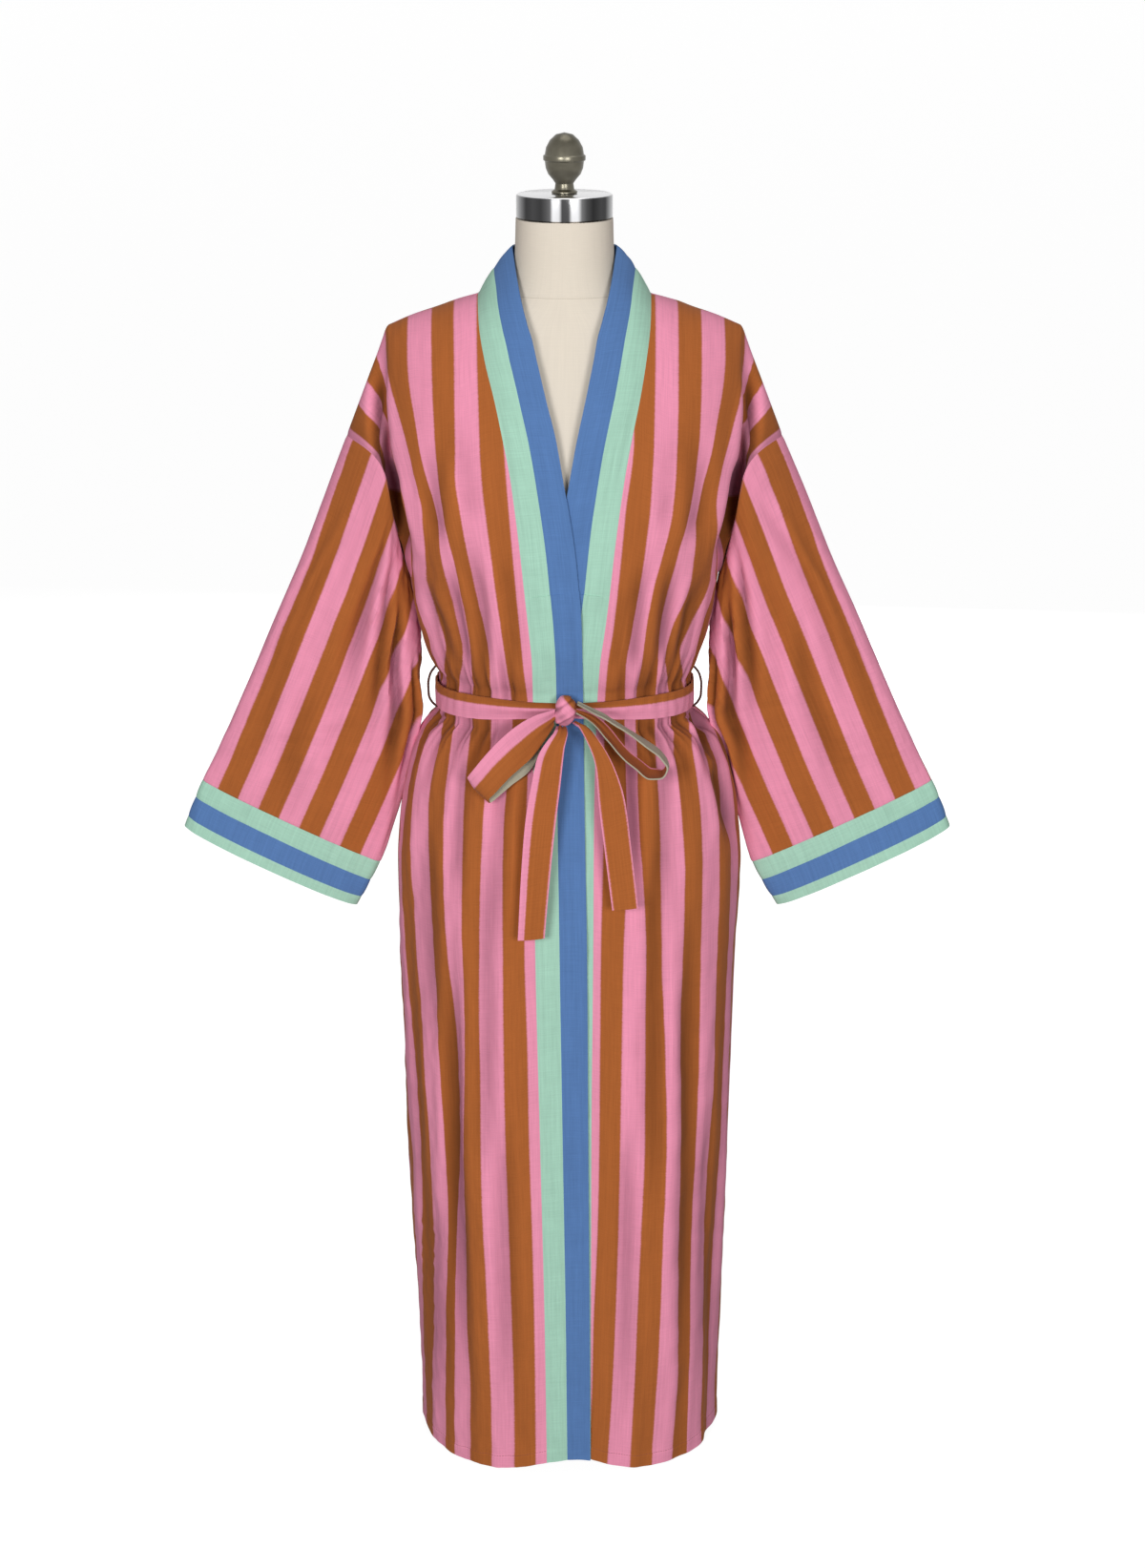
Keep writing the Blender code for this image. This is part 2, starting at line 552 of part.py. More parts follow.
def sleeve_base(side, u, k):
    """Sleeve surface: u round it from the outer fold, k down it from the armhole."""
    u, k = np.broadcast_arrays(np.asarray(u, float), np.asarray(k, float))

    def value(name):
        return through(SLEEVE["at"], SLEEVE[name], k)

    shift = value("left_out") if side > 0 else 0.0 * k
    inner_name = "right_inner" if side < 0 else "left_inner"
    outer_point = stack(side * (value("outer_x") + shift), 0.0, value("outer_z"))
    inner_point = stack(side * value(inner_name), 0.0, value("inner_z"))
    turn = 2 * math.pi * u
    t = (1 - np.cos(turn)) / 2
    facing = np.where(np.sin(turn) >= 0, -1.0, 1.0)
    rise = 1 - t
    angle = np.arcsin(np.clip(rise, 0, 1))
    seam_x_shift = (SLEEVE_TOP[0] - BODY["right"][-1]) * (rise ** ARMHOLE_LEAN - rise)
    seam_shift = stack(side * seam_x_shift, facing * armhole_depth(angle, rise), 0.0)
    lens_y = facing * value("half") * np.abs(np.sin(turn)) ** 0.75
    lens = stack(0.0, lens_y, 0.0)
    change = ease(k / 0.36)[..., None]
    line = outer_point + (inner_point - outer_point) * t[..., None]
    return line + seam_shift * (1 - change) + lens * change


def sleeve_point(side, u, k):
    base = sleeve_base(side, u, k)
    normal = normal_of(lambda a, b: sleeve_base(side, a, b), u, k, side, 0.006)
    depth = np.zeros(np.broadcast(u, k).shape)
    for place, width, deep, drift, first, deepest, last in SLEEVE_FOLDS:
        centre = place + drift * (k - deepest)
        shape = 0.5 * (1 + np.cos(math.pi * np.clip((u - centre) / width, -1, 1)))
        up = ease((k - first) / (deepest - first))
        down = ease((last - k) / (last - deepest))
        depth = depth + deep * shape * up * down
    return base - normal * depth[..., None]


def sleeve_grid(side, around, along):
    u, k = np.meshgrid(np.asarray(around, float), np.asarray(along, float))
    outer = sleeve_point(side, u, k)
    return outer, normal_of(lambda a, b: sleeve_point(side, a, b), u, k, side, 0.006)


def mitred(first, second):
    """Shared direction of two pieces that meet at a seam, long enough to keep the wall."""
    total = first + second
    total = total / np.maximum(np.linalg.norm(total, axis=-1, keepdims=True), 1e-9)
    lean = np.clip((total * first).sum(axis=-1, keepdims=True), 0.6, 1.0)
    return total / lean


def band_surface(side, c, r):
    """Band surface: c across (0 seam, 1 free edge), r up (2 shoulder, 3 centre back)."""
    c, r = np.broadcast_arrays(np.asarray(c, float), np.asarray(r, float))
    height = np.clip(r, 0.0, 1.0) * ARMPIT
    turn = np.clip(r - 1.0, 0.0, 1.0) * math.pi / 2
    upper = r > 1.0
    seam_height = np.where(upper, ARMPIT + (NECK_POINT_Z - ARMPIT) * np.sin(turn), height)
    free_name = "right_free" if side < 0 else "left_free"
    seam = seam_x(side, seam_height)
    free_low = through(BANDS["height"], BANDS[free_name], seam_height)
    x_low = side * (seam - (seam + free_low) * c)
    width = through(BODY["height"], np.where(x_low.mean() < 0, BODY["right"], BODY["left"]), height)
    depth = through(BODY["height"], BODY["front"], height)
    y_low = -depth * (1 - np.abs(x_low / width) ** SQUARENESS) ** (1 / SQUARENESS)
    rise = through(COLLAR_RISE["seam_height"], COLLAR_RISE["rise"], seam_height)
    z_low = height + c * rise * ease((height - 0.80) / 0.15)
    low_hem = through(HEM["x"], HEM["rise"], x_low) * (1 - ease(z_low / 0.10))
    low = stack(x_low, y_low, z_low + low_hem)
    edge = chest(side, "front", np.zeros_like(c), turn)
    free_height = seam_height + rise
    free_x = -through(BANDS["height"], BANDS[free_name], free_height)
    free_x = np.where(free_height > 1.234, 0.053 - 0.0175 * (COLLAR_TOP_Z - free_height) / 0.048, free_x)
    free_y = -through(COLLAR_RISE["seam_height"], COLLAR_RISE["free_depth"], seam_height)
    free = stack(side * free_x, free_y, free_height)
    bulge = 0.0032 * np.sin(math.pi * c) * np.sin(turn)
    high = edge + (free - edge) * c[..., None] + stack(0.0, -bulge * np.cos(turn), bulge)
    point = np.where(upper[..., None], high, low)
    behind = r > 2.0
    swing = np.clip(r - 2.0, 0.0, None) * math.pi / 2
    seam_back = stack(
        side * NECK_POINT_X * np.cos(swing),
        NECK_BACK_DEPTH * np.sin(swing),
        NECK_BACK_HEIGHT + (NECK_POINT_Z - NECK_BACK_HEIGHT) * np.cos(swing) ** 2,
    )
    free_back = stack(
        side * COLLAR_TOP_X * np.cos(swing),
        COLLAR_BACK_DEPTH * np.sin(swing),
        COLLAR_BACK_HEIGHT + (COLLAR_TOP_Z - COLLAR_BACK_HEIGHT) * np.cos(swing) ** 2,
    )
    back = seam_back + (free_back - seam_back) * c[..., None]
    back = back + stack(0.0, 0.0, 0.0032 * np.sin(math.pi * c))
    point = np.where(behind[..., None], back, point)
    if side > 0:
        inward = WRAP_DROP * (1 - ease((point[..., 2] - 1.050) / 0.06))
        point = point + stack(0.0, np.where(r > 2.0, 0.0, inward), 0.0)
    return point


def finish(name, verts, faces, color, rough=0.85, metal=0.0, smooth=True):
    mesh = bpy.data.meshes.new(name)
    mesh.from_pydata([tuple(v) for v in verts], [], faces)
    mesh.update()
    build = bmesh.new()
    build.from_mesh(mesh)
    bmesh.ops.remove_doubles(build, verts=build.verts, dist=1e-7)
    bmesh.ops.recalc_face_normals(build, faces=build.faces)
    if build.calc_volume(signed=True) < 0:
        bmesh.ops.reverse_faces(build, faces=build.faces)
    for face in build.faces:
        face.smooth = smooth
    build.to_mesh(mesh)
    build.free()
    item = bpy.data.objects.new(name, mesh)
    PART.objects.link(item)
    material = bpy.data.materials.new(name)
    material.use_nodes = True
    shader = material.node_tree.nodes["Principled BSDF"]
    shader.inputs["Base Color"].default_value = color
    shader.inputs["Roughness"].default_value = rough
    shader.inputs["Metallic"].default_value = metal
    mesh.materials.append(material)
    return item


def wall(name, outer, inner, color, closed=False):
    """Closed cloth wall from two grids of points, rows up and columns across."""
    rows, columns = outer.shape[:2]
    lift = np.array((0.0, 0.0, LIFT))
    verts = list((outer + lift).reshape(-1, 3)) + list((inner + lift).reshape(-1, 3))
    half = rows * columns
    faces = []
    last = columns if closed else columns - 1
    for i in range(rows - 1):
        for j in range(last):
            a = i * columns + j
            b = i * columns + (j + 1) % columns
            c = b + columns
            d = a + columns
            faces.append((a, b, c))
            faces.append((a, c, d))
            faces.append((half + c, half + b, half + a))
            faces.append((half + d, half + c, half + a))
    for i in (0, rows - 1):
        for j in range(last):
            a = i * columns + j
            b = i * columns + (j + 1) % columns
            faces.append((a, b, half + b, half + a))
    if not closed:
        for j in (0, columns - 1):
            for i in range(rows - 1):
                a = i * columns + j
                b = a + columns
                faces.append((a, b, half + b, half + a))
    return finish(name, verts, faces, color)


def pull(edge, neighbour, amount):
    way = neighbour - edge
    length = np.maximum(np.linalg.norm(way, axis=-1, keepdims=True), 1e-9)
    return edge + way / length * amount


def trimmed(grid, left=True, right=True, top=True, bottom=False):
    """The grid drawn back by half a seam gap along the named edges."""
    grid = grid.copy()
    half = SEAM_GAP / 2
    if left:
        grid[:, 0] = pull(grid[:, 0], grid[:, 1], half)
    if right:
        grid[:, -1] = pull(grid[:, -1], grid[:, -2], half)
    if top:
        grid[-1] = pull(grid[-1], grid[-2], half)
    if bottom:
        grid[0] = pull(grid[0], grid[1], half)
    return grid


def runs(*parts):
    values = [parts[0][0]]
    for first, last, count in parts:
        values += [first + (last - first) * (i + 1) / count for i in range(count)]
    return values


def body_rows():
    heights = (0.0, 0.045, 0.13, 0.23, 0.34, 0.45, 0.56, 0.64, 0.692, 0.74, 0.772, 0.793, 0.802,
               0.808, 0.846, 0.854, 0.868, 0.890, 0.918)
    low = [h / ARMPIT for h in heights]
    turns = [math.asin(1 - (1 - math.cos(math.pi * j / ARMHOLE_STEPS)) / 2)
             for j in range(ARMHOLE_STEPS, -1, -1)]
    return low + [1.0 + t / (math.pi / 2) for t in turns]


ROWS = body_rows()
FRONT_COLUMNS = runs((0.0, FRONT_LIP, FRONT_STEPS[0]), (FRONT_LIP, FRONT_VALLEY, FRONT_STEPS[1]),
                     (FRONT_VALLEY, 1.0, FRONT_STEPS[2]))
BACK_COLUMNS = runs((0.0, BACK_NECK, BACK_STEPS[0]), (BACK_NECK, BACK_LIP, BACK_STEPS[1]),
                    (BACK_LIP, BACK_VALLEY, BACK_STEPS[2]), (BACK_VALLEY, 1.0, BACK_STEPS[3]))


def thinned(height, nearness):
    """Wall thickness, thinner where front, back and sleeve crowd together under the arm."""
    low = 1 - ease((height - (ARMPIT + 0.045)) / 0.03)
    return (WALL + (ARMPIT_WALL - WALL) * low * nearness)[..., None]


def body_wall(grid, half):
    outer, normal = grid
    lip = FRONT_LIP if half == "front" else BACK_LIP
    columns = np.array(FRONT_COLUMNS if half == "front" else BACK_COLUMNS)
    nearness = ease((columns - lip) / (1 - lip))[None, :] * (outer[..., 2] > ARMPIT - 0.02)
    return outer - normal * thinned(outer[..., 2], nearness)


def loop_of(seams, side, index, low):
    """The armhole as a ring: up to down along the front, then back up along the back."""
    front = seams[side, "front"][index][low:][::-1]
    back = seams[side, "back"][index][low:]
    return np.concatenate((front, back[1:-1]), axis=0)


def make_body_and_sleeves():
    """Fronts, back and sleeves; returns the neck seam that the bands start from."""
    grids = {}
    seams = {}
    for side in (-1, 1):
        for half, columns in (("front", FRONT_COLUMNS), ("back", BACK_COLUMNS)):
            outer, normal = body_grid(side, half, columns, ROWS)
            grids[side, half] = (outer, normal)
            seams[side, half] = (outer[:, -1], normal[:, -1])
    low = len(ROWS) - ARMHOLE_STEPS - 1
    around = [j / (2 * ARMHOLE_STEPS) for j in range(2 * ARMHOLE_STEPS)]
    along = [0.0, 0.06, 0.143, 0.24, 0.34, 0.45, 0.56, 0.67, 0.78, 0.89, 1.0]
    for side, word in ((-1, "right"), (1, "left")):
        outer, normal = sleeve_grid(side, around, along)
        seam = loop_of(seams, side, 0, low)
        shared = mitred(loop_of(seams, side, 1, low), normal[0])
        crowd = (1 - ease(np.array(along) / 0.20))[:, None] * np.ones(len(around))
        inner = outer - normal * thinned(outer[..., 2], crowd)
        away = SEAM_GAP / 2 + ARMPIT_EASE * (1 - ease((seam[:, 2:] - (ARMPIT + 0.045)) / 0.03))
        outer[0] = pull(seam, outer[1], away)
        inner[0] = pull(seam - shared * thinned(seam[:, 2], 1.0), inner[1], away)
        wall("sleeve_" + word, trimmed(outer, False, False), trimmed(inner, False, False), CLOTH,
             closed=True)
        count = ARMHOLE_STEPS
        grids[side, "front"][1][low:, -1] = shared[:count + 1][::-1]
        grids[side, "back"][1][low + 1:-1, -1] = shared[count + 1:]
        grids[side, "back"][1][low, -1] = shared[count]
        grids[side, "back"][1][-1, -1] = shared[0]
        for i, (name, color) in enumerate((("cuff_upper", MINT), ("cuff_middle", BLUE),
                                           ("cuff_lower", MINT))):
            outer, normal = sleeve_grid(side, around, (1 + CUFF_STRIPS[i], 1 + CUFF_STRIPS[i + 1]))
            inner = outer - normal * WALL
            edge = i == 2
            wall(name + "_" + word, trimmed(outer, False, False, not edge, True),
                 trimmed(inner, False, False, not edge, True), color, closed=True)
    make_bands(grids)
    for side, word in ((-1, "right"), (1, "left")):
        inner = body_wall(grids[side, "front"], "front")
        wall("front_" + word, trimmed(grids[side, "front"][0]), trimmed(inner), CLOTH)
    right = grids[-1, "back"]
    left = grids[1, "back"]
    outer = np.concatenate((right[0][:, ::-1], left[0][:, 1:]), axis=1)
    inner = np.concatenate((body_wall(right, "back")[:, ::-1], body_wall(left, "back")[:, 1:]), axis=1)
    wall("back", trimmed(outer), trimmed(inner), CLOTH)


def make_bands(grids):
    """Both halves of the collar band, each an inner mint strip and a blue edge strip."""
    neck = BACK_STEPS[0] + 1
    for side, word in ((-1, "right"), (1, "left")):
        front, front_normal = grids[side, "front"]
        back, back_normal = grids[side, "back"]
        seam = np.concatenate((front[:, 0], back[-1, :neck][::-1][1:]), axis=0)
        seam_normal = np.concatenate((front_normal[:, 0], back_normal[-1, :neck][::-1][1:]), axis=0)
        rows = np.array(ROWS + [2.0 + (i + 1) / BACK_STEPS[0] for i in range(BACK_STEPS[0])])
        split = 0.47
        for name, columns, color in (("band_inner", (0.0, 0.235, split), MINT),
                                     ("band_edge", (split, 0.735, 1.0), BLUE)):
            c, r = np.meshgrid(np.array(columns), rows)
            outer = band_surface(side, c, r)
            normal = normal_of(lambda a, b: band_surface(side, a, b), c, r, -side, 0.02)
            inner = outer - normal * WALL
            first = name == "band_inner"
            if first:
                shared = mitred(seam_normal, normal[:, 0])
                outer[:, 0] = pull(seam, outer[:, 1], SEAM_GAP / 2)
                inner[:, 0] = pull(seam - shared * WALL, inner[:, 1], SEAM_GAP / 2)
                front_normal[:, 0] = shared[:len(ROWS)]
                back_normal[-1, :neck] = shared[len(ROWS) - 1:][::-1]
            wall(name + "_" + word, trimmed(outer, not first, first), trimmed(inner, not first, first),
                 color)


def make_belt():
    columns = np.array([2 * math.pi * j / BELT_STEPS for j in range(BELT_STEPS)])
    near = np.exp(-(np.abs(np.angle(np.exp(1j * columns))) / 0.30) ** 2)
    half = BELT_HALF + (BELT_KNOT_HALF - BELT_HALF) * near
    front = 0.5 + 0.5 * np.cos(columns)
    middle = BELT_SIDE_HEIGHT + (BELT_FRONT_HEIGHT - BELT_SIDE_HEIGHT) * front ** 1.5
    power = 2.0 / SQUARENESS
    grids = []
    for extra in (BELT_THICKNESS, 0.0):
        depth = np.where(np.cos(columns) > 0, BELT_FRONT, BELT_BACK) + extra
        x = (BELT_WIDTH + extra) * signed_power(np.sin(columns), power)
        y = -depth * signed_power(np.cos(columns), power)
        rows = [stack(x, y, middle + half * f) for f in (-1.0, 0.0, 1.0)]
        grids.append(np.stack(rows, axis=0))
    wall("belt", grids[0], grids[1], BROWN, closed=True)


def ribbon(name, stations, bow=0.0008, steps=2):
    """A strip of belt through stations that give both its edges."""
    rows = np.array(stations, float)
    at = np.arange(len(rows), dtype=float)
    fine = np.linspace(0.0, at[-1], (len(rows) - 1) * steps + 1)
    first = np.stack([through(at, rows[:, i], fine) for i in range(3)], axis=-1)
    second = np.stack([through(at, rows[:, i], fine) for i in range(3, 6)], axis=-1)
    along = np.gradient((first + second) / 2, axis=0)
    face = np.cross(along, second - first)
    face = face / np.linalg.norm(face, axis=-1, keepdims=True)
    columns = []
    for f in (0.0, 0.5, 1.0):
        columns.append(first + (second - first) * f + face * bow * math.sin(math.pi * f))
    grid = np.stack(columns, axis=1)
    shift = face[:, None, :] * BELT_THICKNESS / 2
    wall(name, grid + shift, grid - shift, BROWN)


def make_knot():
    build = bmesh.new()
    bmesh.ops.create_uvsphere(build, u_segments=14, v_segments=8, radius=1.0)
    for vert in build.verts:
        p = np.array(vert.co)
        p = np.sign(p) * np.abs(p) ** 0.85
        ridge = 1 + 0.06 * math.sin(3.2 * p[2] + 2.0 * p[0])
        x = p[0] * KNOT_HALF[0] * ridge
        z = p[2] * KNOT_HALF[2]
        y = p[1] * KNOT_HALF[1]
        vert.co = (
            KNOT_CENTRE[0] + x * math.cos(KNOT_TILT) + z * math.sin(KNOT_TILT),
            KNOT_CENTRE[1] + y,
            KNOT_CENTRE[2] + LIFT - x * math.sin(KNOT_TILT) + z * math.cos(KNOT_TILT),
        )
    mesh = bpy.data.meshes.new("knot_source")
    build.to_mesh(mesh)
    build.free()
    verts = [tuple(v.co) for v in mesh.vertices]
    faces = [tuple(p.vertices) for p in mesh.polygons]
    bpy.data.meshes.remove(mesh)
    finish("belt_knot", verts, faces, BROWN)


def make_carriers():
    """The thread loops at the side seams that hold the belt up."""
    for side, word in ((-1, "right"), (1, "left")):
        heights, beyond = np.array(CARRIER).T
        x = through(BODY["height"], BODY[word], heights) + beyond
        path = stack(side * x, 0.0, heights + LIFT)
        along = np.gradient(path, axis=0)
        along = along / np.linalg.norm(along, axis=-1, keepdims=True)
        across = np.cross(along, (0.0, 1.0, 0.0))
        verts = []
        count = 6
        for point, way in zip(path, across):
            for j in range(count):
                turn = 2 * math.pi * j / count
                verts.append(point + CARRIER_RADIUS * (way * math.cos(turn)
                                                       + np.array((0.0, math.sin(turn), 0.0))))
        faces = []
        for i in range(len(path) - 1):
            for j in range(count):
                a = i * count + j
                b = i * count + (j + 1) % count
                faces.append((a, b, b + count, a + count))
        faces.append(tuple(range(count)))
        faces.append(tuple(range((len(path) - 1) * count, len(path) * count)))
        finish("belt_loop_" + word, verts, faces, BROWN)


def make_torso():
    verts = []
    faces = []
    power = 2.0 / 2.15
    for height, width, front, back in FORM:
        for j in range(FORM_STEPS):
            turn = 2 * math.pi * j / FORM_STEPS
            c = math.cos(turn)
            s = math.sin(turn)
            depth = front if c > 0 else back
            verts.append((width * float(signed_power(s, power)),
                          -depth * float(signed_power(c, power)), height + LIFT))
    for i in range(len(FORM) - 1):
        for j in range(FORM_STEPS):
            a = i * FORM_STEPS + j
            b = i * FORM_STEPS + (j + 1) % FORM_STEPS
            faces.append((a, b, b + FORM_STEPS, a + FORM_STEPS))
    faces.append(tuple(range(FORM_STEPS)))
    faces.append(tuple(range((len(FORM) - 1) * FORM_STEPS, len(FORM) * FORM_STEPS)))
    finish("form_torso", verts, faces, CREAM, 0.9)


def turned(name, profile, steps, color, rough, metal=0.0):
    """A round piece turned about the vertical axis from half its outline."""
    mesh = bpy.data.meshes.new(name)
    points = [(x, 0.0, z + LIFT) for x, z in profile]
    mesh.from_pydata(points, [(i, i + 1) for i in range(len(points) - 1)], [])
    item = bpy.data.objects.new(name, mesh)
    PART.objects.link(item)
    screw = item.modifiers.new("turn", "SCREW")
    screw.axis = "Z"
    screw.steps = steps
    screw.render_steps = steps
    screw.use_merge_vertices = True
    screw.merge_threshold = 0.0001
    screw.use_normal_calculate = True
    bpy.context.view_layer.update()
    shape = item.evaluated_get(bpy.context.evaluated_depsgraph_get()).to_mesh()
    verts = [tuple(v.co) for v in shape.vertices]
    faces = [tuple(p.vertices) for p in shape.polygons]
    item.to_mesh_clear()
    bpy.data.objects.remove(item, do_unlink=True)
    bpy.data.meshes.remove(mesh)
    finish(name, verts, faces, color, rough, metal)


def main():
    make_body_and_sleeves()
    make_belt()
    ribbon("bow_loop_right", RIGHT_LOOP)
    ribbon("bow_loop_left", LEFT_LOOP)
    ribbon("belt_tail_right", RIGHT_TAIL)
    ribbon("belt_tail_left", LEFT_TAIL)
    make_knot()
    make_carriers()
    make_torso()
    turned("form_cap", CAP_PROFILE, 36, CHROME, 0.15, 1.0)
    turned("form_knob", KNOB_PROFILE, 20, BRONZE, 0.35, 1.0)
    turned("form_pole", POLE_PROFILE, 20, CHROME, 0.3, 1.0)
    turned("form_base", BASE_PROFILE, 36, CHROME, 0.35, 1.0)


main()
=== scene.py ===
import json
import math

import bpy
import bmesh
import numpy as np
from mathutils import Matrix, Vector

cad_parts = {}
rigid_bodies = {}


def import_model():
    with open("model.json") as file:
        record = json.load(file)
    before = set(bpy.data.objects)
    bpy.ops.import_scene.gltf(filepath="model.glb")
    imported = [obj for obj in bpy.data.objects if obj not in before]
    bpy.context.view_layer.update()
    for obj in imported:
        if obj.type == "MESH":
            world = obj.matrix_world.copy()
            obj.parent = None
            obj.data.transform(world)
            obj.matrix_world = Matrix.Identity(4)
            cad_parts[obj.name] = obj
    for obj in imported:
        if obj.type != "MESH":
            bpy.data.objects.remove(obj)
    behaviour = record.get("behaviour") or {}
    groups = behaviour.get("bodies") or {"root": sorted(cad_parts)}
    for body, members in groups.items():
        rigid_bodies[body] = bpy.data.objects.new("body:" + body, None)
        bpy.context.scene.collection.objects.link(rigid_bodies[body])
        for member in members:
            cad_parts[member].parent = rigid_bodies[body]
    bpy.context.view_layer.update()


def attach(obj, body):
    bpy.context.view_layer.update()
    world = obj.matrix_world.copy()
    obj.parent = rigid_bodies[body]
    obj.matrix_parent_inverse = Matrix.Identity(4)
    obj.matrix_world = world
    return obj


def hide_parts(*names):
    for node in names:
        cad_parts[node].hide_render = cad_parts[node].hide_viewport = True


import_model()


def table(names, *rows):
    return {name: np.array([row[i] for row in rows], float) for i, name in enumerate(names)}


lift = 0.006
armpit = 0.950
neckPointX = 0.0865
neckPointZ = 1.234
wrapDrop = 0.0036
wrapTop = 1.050
squareness = 2.5
frontLip = 0.70
frontValley = 0.85
backNeck = 0.36
backLip = 0.74
backValley = 0.87
armholeIn = 0.048
armpitRound = 0.007
valleyDepth = 0.55
valleyAt = 0.60
valleySpread = 0.26
beltThickness = 0.0018
# One row per height of the body: half widths on both sides, depth forward and depth back.
bodyTable = table(
    ("height", "right", "left", "front", "back"),
    (0.0, 0.156, 0.168, 0.148, 0.138),
    (0.129, 0.16, 0.17, 0.147, 0.137),
    (0.267, 0.166, 0.175, 0.145, 0.136),
    (0.401, 0.171, 0.178, 0.142, 0.135),
    (0.532, 0.1745, 0.181, 0.139, 0.134),
    (0.64, 0.1765, 0.184, 0.135, 0.131),
    (0.692, 0.173, 0.181, 0.131, 0.127),
    (0.744, 0.164, 0.172, 0.124, 0.119),
    (0.775, 0.155, 0.162, 0.117, 0.109),
    (0.793, 0.145, 0.149, 0.111, 0.099),
    (0.802, 0.1365, 0.138, 0.107, 0.092),
    (0.808, 0.1305, 0.1305, 0.1045, 0.086),
    (0.846, 0.1305, 0.1305, 0.1045, 0.086),
    (0.854, 0.135, 0.1338, 0.107, 0.0885),
    (0.866, 0.1402, 0.1385, 0.1105, 0.0925),
    (0.888, 0.147, 0.146, 0.1155, 0.097),
    (0.915, 0.153, 0.152, 0.119, 0.101),
    (0.95, 0.158, 0.158, 0.122, 0.105),
)
# One row per height of the centre front: distance from the centre of the seam that joins the
# band to its front, and where the band's free edge lies, positive past the centre.
bandTable = table(
    ("height", "rightSeam", "rightFree", "leftSeam", "leftFree"),
    (0.0, 0.0195, 0.0272, 0.0275, 0.0265),
    (0.157, 0.0212, 0.0262, 0.0275, 0.0262),
    (0.374, 0.0257, 0.0244, 0.0277, 0.0258),
    (0.583, 0.03, 0.0228, 0.0292, 0.0244),
    (0.722, 0.0313, 0.0203, 0.0298, 0.0238),
    (0.825, 0.0318, 0.019, 0.0325, 0.0212),
    (0.876, 0.0324, 0.0181, 0.0353, 0.0184),
    (0.917, 0.0358, 0.017, 0.0406, 0.0132),
    (0.95, 0.0392, 0.0147, 0.0446, 0.0095),
    (0.997, 0.0441, 0.0103, 0.0497, 0.0048),
    (1.034, 0.0486, 0.0047, 0.0545, 0.0003),
    (1.071, 0.0538, -0.0019, 0.06, -0.006),
    (1.107, 0.0611, -0.0084, 0.0668, -0.0127),
    (1.143, 0.0691, -0.0177, 0.0745, -0.0208),
    (1.177, 0.0782, -0.0262, 0.0805, -0.0281),
    (1.211, 0.0846, -0.0357, 0.0852, -0.0357),
    (1.234, 0.0865, -0.053, 0.0865, -0.053),
)
# One row per height of the neck seam: how far the band's free edge stands above that seam
# and how far back of the chest front it lies, then the same edge round the back of the neck.
collarRise = table(
    ("seamHeight", "rise", "freeDepth"),
    (0.95, 0.007, 0.122),
    (1.021, 0.008, 0.1205),
    (1.068, 0.009, 0.115),
    (1.117, 0.01, 0.1045),
    (1.164, 0.013, 0.0875),
    (1.202, 0.017, 0.07),
    (1.2265, 0.029, 0.04),
    (1.234, 0.048, 0.0),
)
# The free edge of the collar beside the neck.
collarEdge = table(
    ("height", "x"),
    (1.211, 0.0357),
    (1.232, 0.0418),
    (1.2565, 0.0478),
    (1.282, 0.053),
)
neckBackDepth = 0.066
neckBackHeight = 1.224
collarTopX = 0.0530
collarTopZ = 1.282
collarBackDepth = 0.0560
collarBackHeight = 1.278
collarBulge = 0.0032
# The fold along the top of the shoulder, from the neck out to the sleeve seam.
shoulderTable = table(
    ("x", "height"),
    (0.0865, 1.234),
    (0.1, 1.2305),
    (0.127, 1.2215),
    (0.154, 1.2125),
    (0.176, 1.203),
)
valleyLift = 0.0220
sleeveTop = (0.2205, 1.0920)
# Gathers and long folds of the body: place across the panel (0 at the band or the centre
# back, 1 at the side), half width, depth, drift per metre of height, lowest and highest point
# and the height where it is deepest.
foldNames = ("side", "place", "width", "depth", "drift", "low", "deep", "high")
frontFolds = (
    (-1, 0.13, 0.07, 0.003, 0.1, 0.7, 0.812, 0.9),
    (-1, 0.3, 0.075, 0.0036, 0.05, 0.69, 0.808, 0.985),
    (-1, 0.47, 0.075, 0.0038, 0.0, 0.66, 0.806, 0.96),
    (-1, 0.64, 0.08, 0.0042, -0.1, 0.7, 0.845, 1.03),
    (-1, 0.82, 0.08, 0.0034, -0.15, 0.64, 0.806, 0.9),
    (-1, 0.42, 0.085, 0.0044, 0.05, 0.0, 0.2, 0.64),
    (-1, 0.72, 0.09, 0.004, 0.05, 0.06, 0.38, 0.7),
    (1, 0.15, 0.07, 0.003, 0.1, 0.69, 0.808, 0.91),
    (1, 0.31, 0.075, 0.0038, 0.02, 0.7, 0.845, 1.01),
    (1, 0.46, 0.075, 0.0034, 0.0, 0.68, 0.806, 0.95),
    (1, 0.62, 0.08, 0.0044, -0.1, 0.67, 0.808, 1.02),
    (1, 0.8, 0.085, 0.0052, -0.12, 0.56, 0.79, 0.9),
    (1, 0.48, 0.085, 0.004, 0.04, 0.0, 0.23, 0.6),
    (1, 0.76, 0.09, 0.0044, 0.03, 0.0, 0.33, 0.68),
)
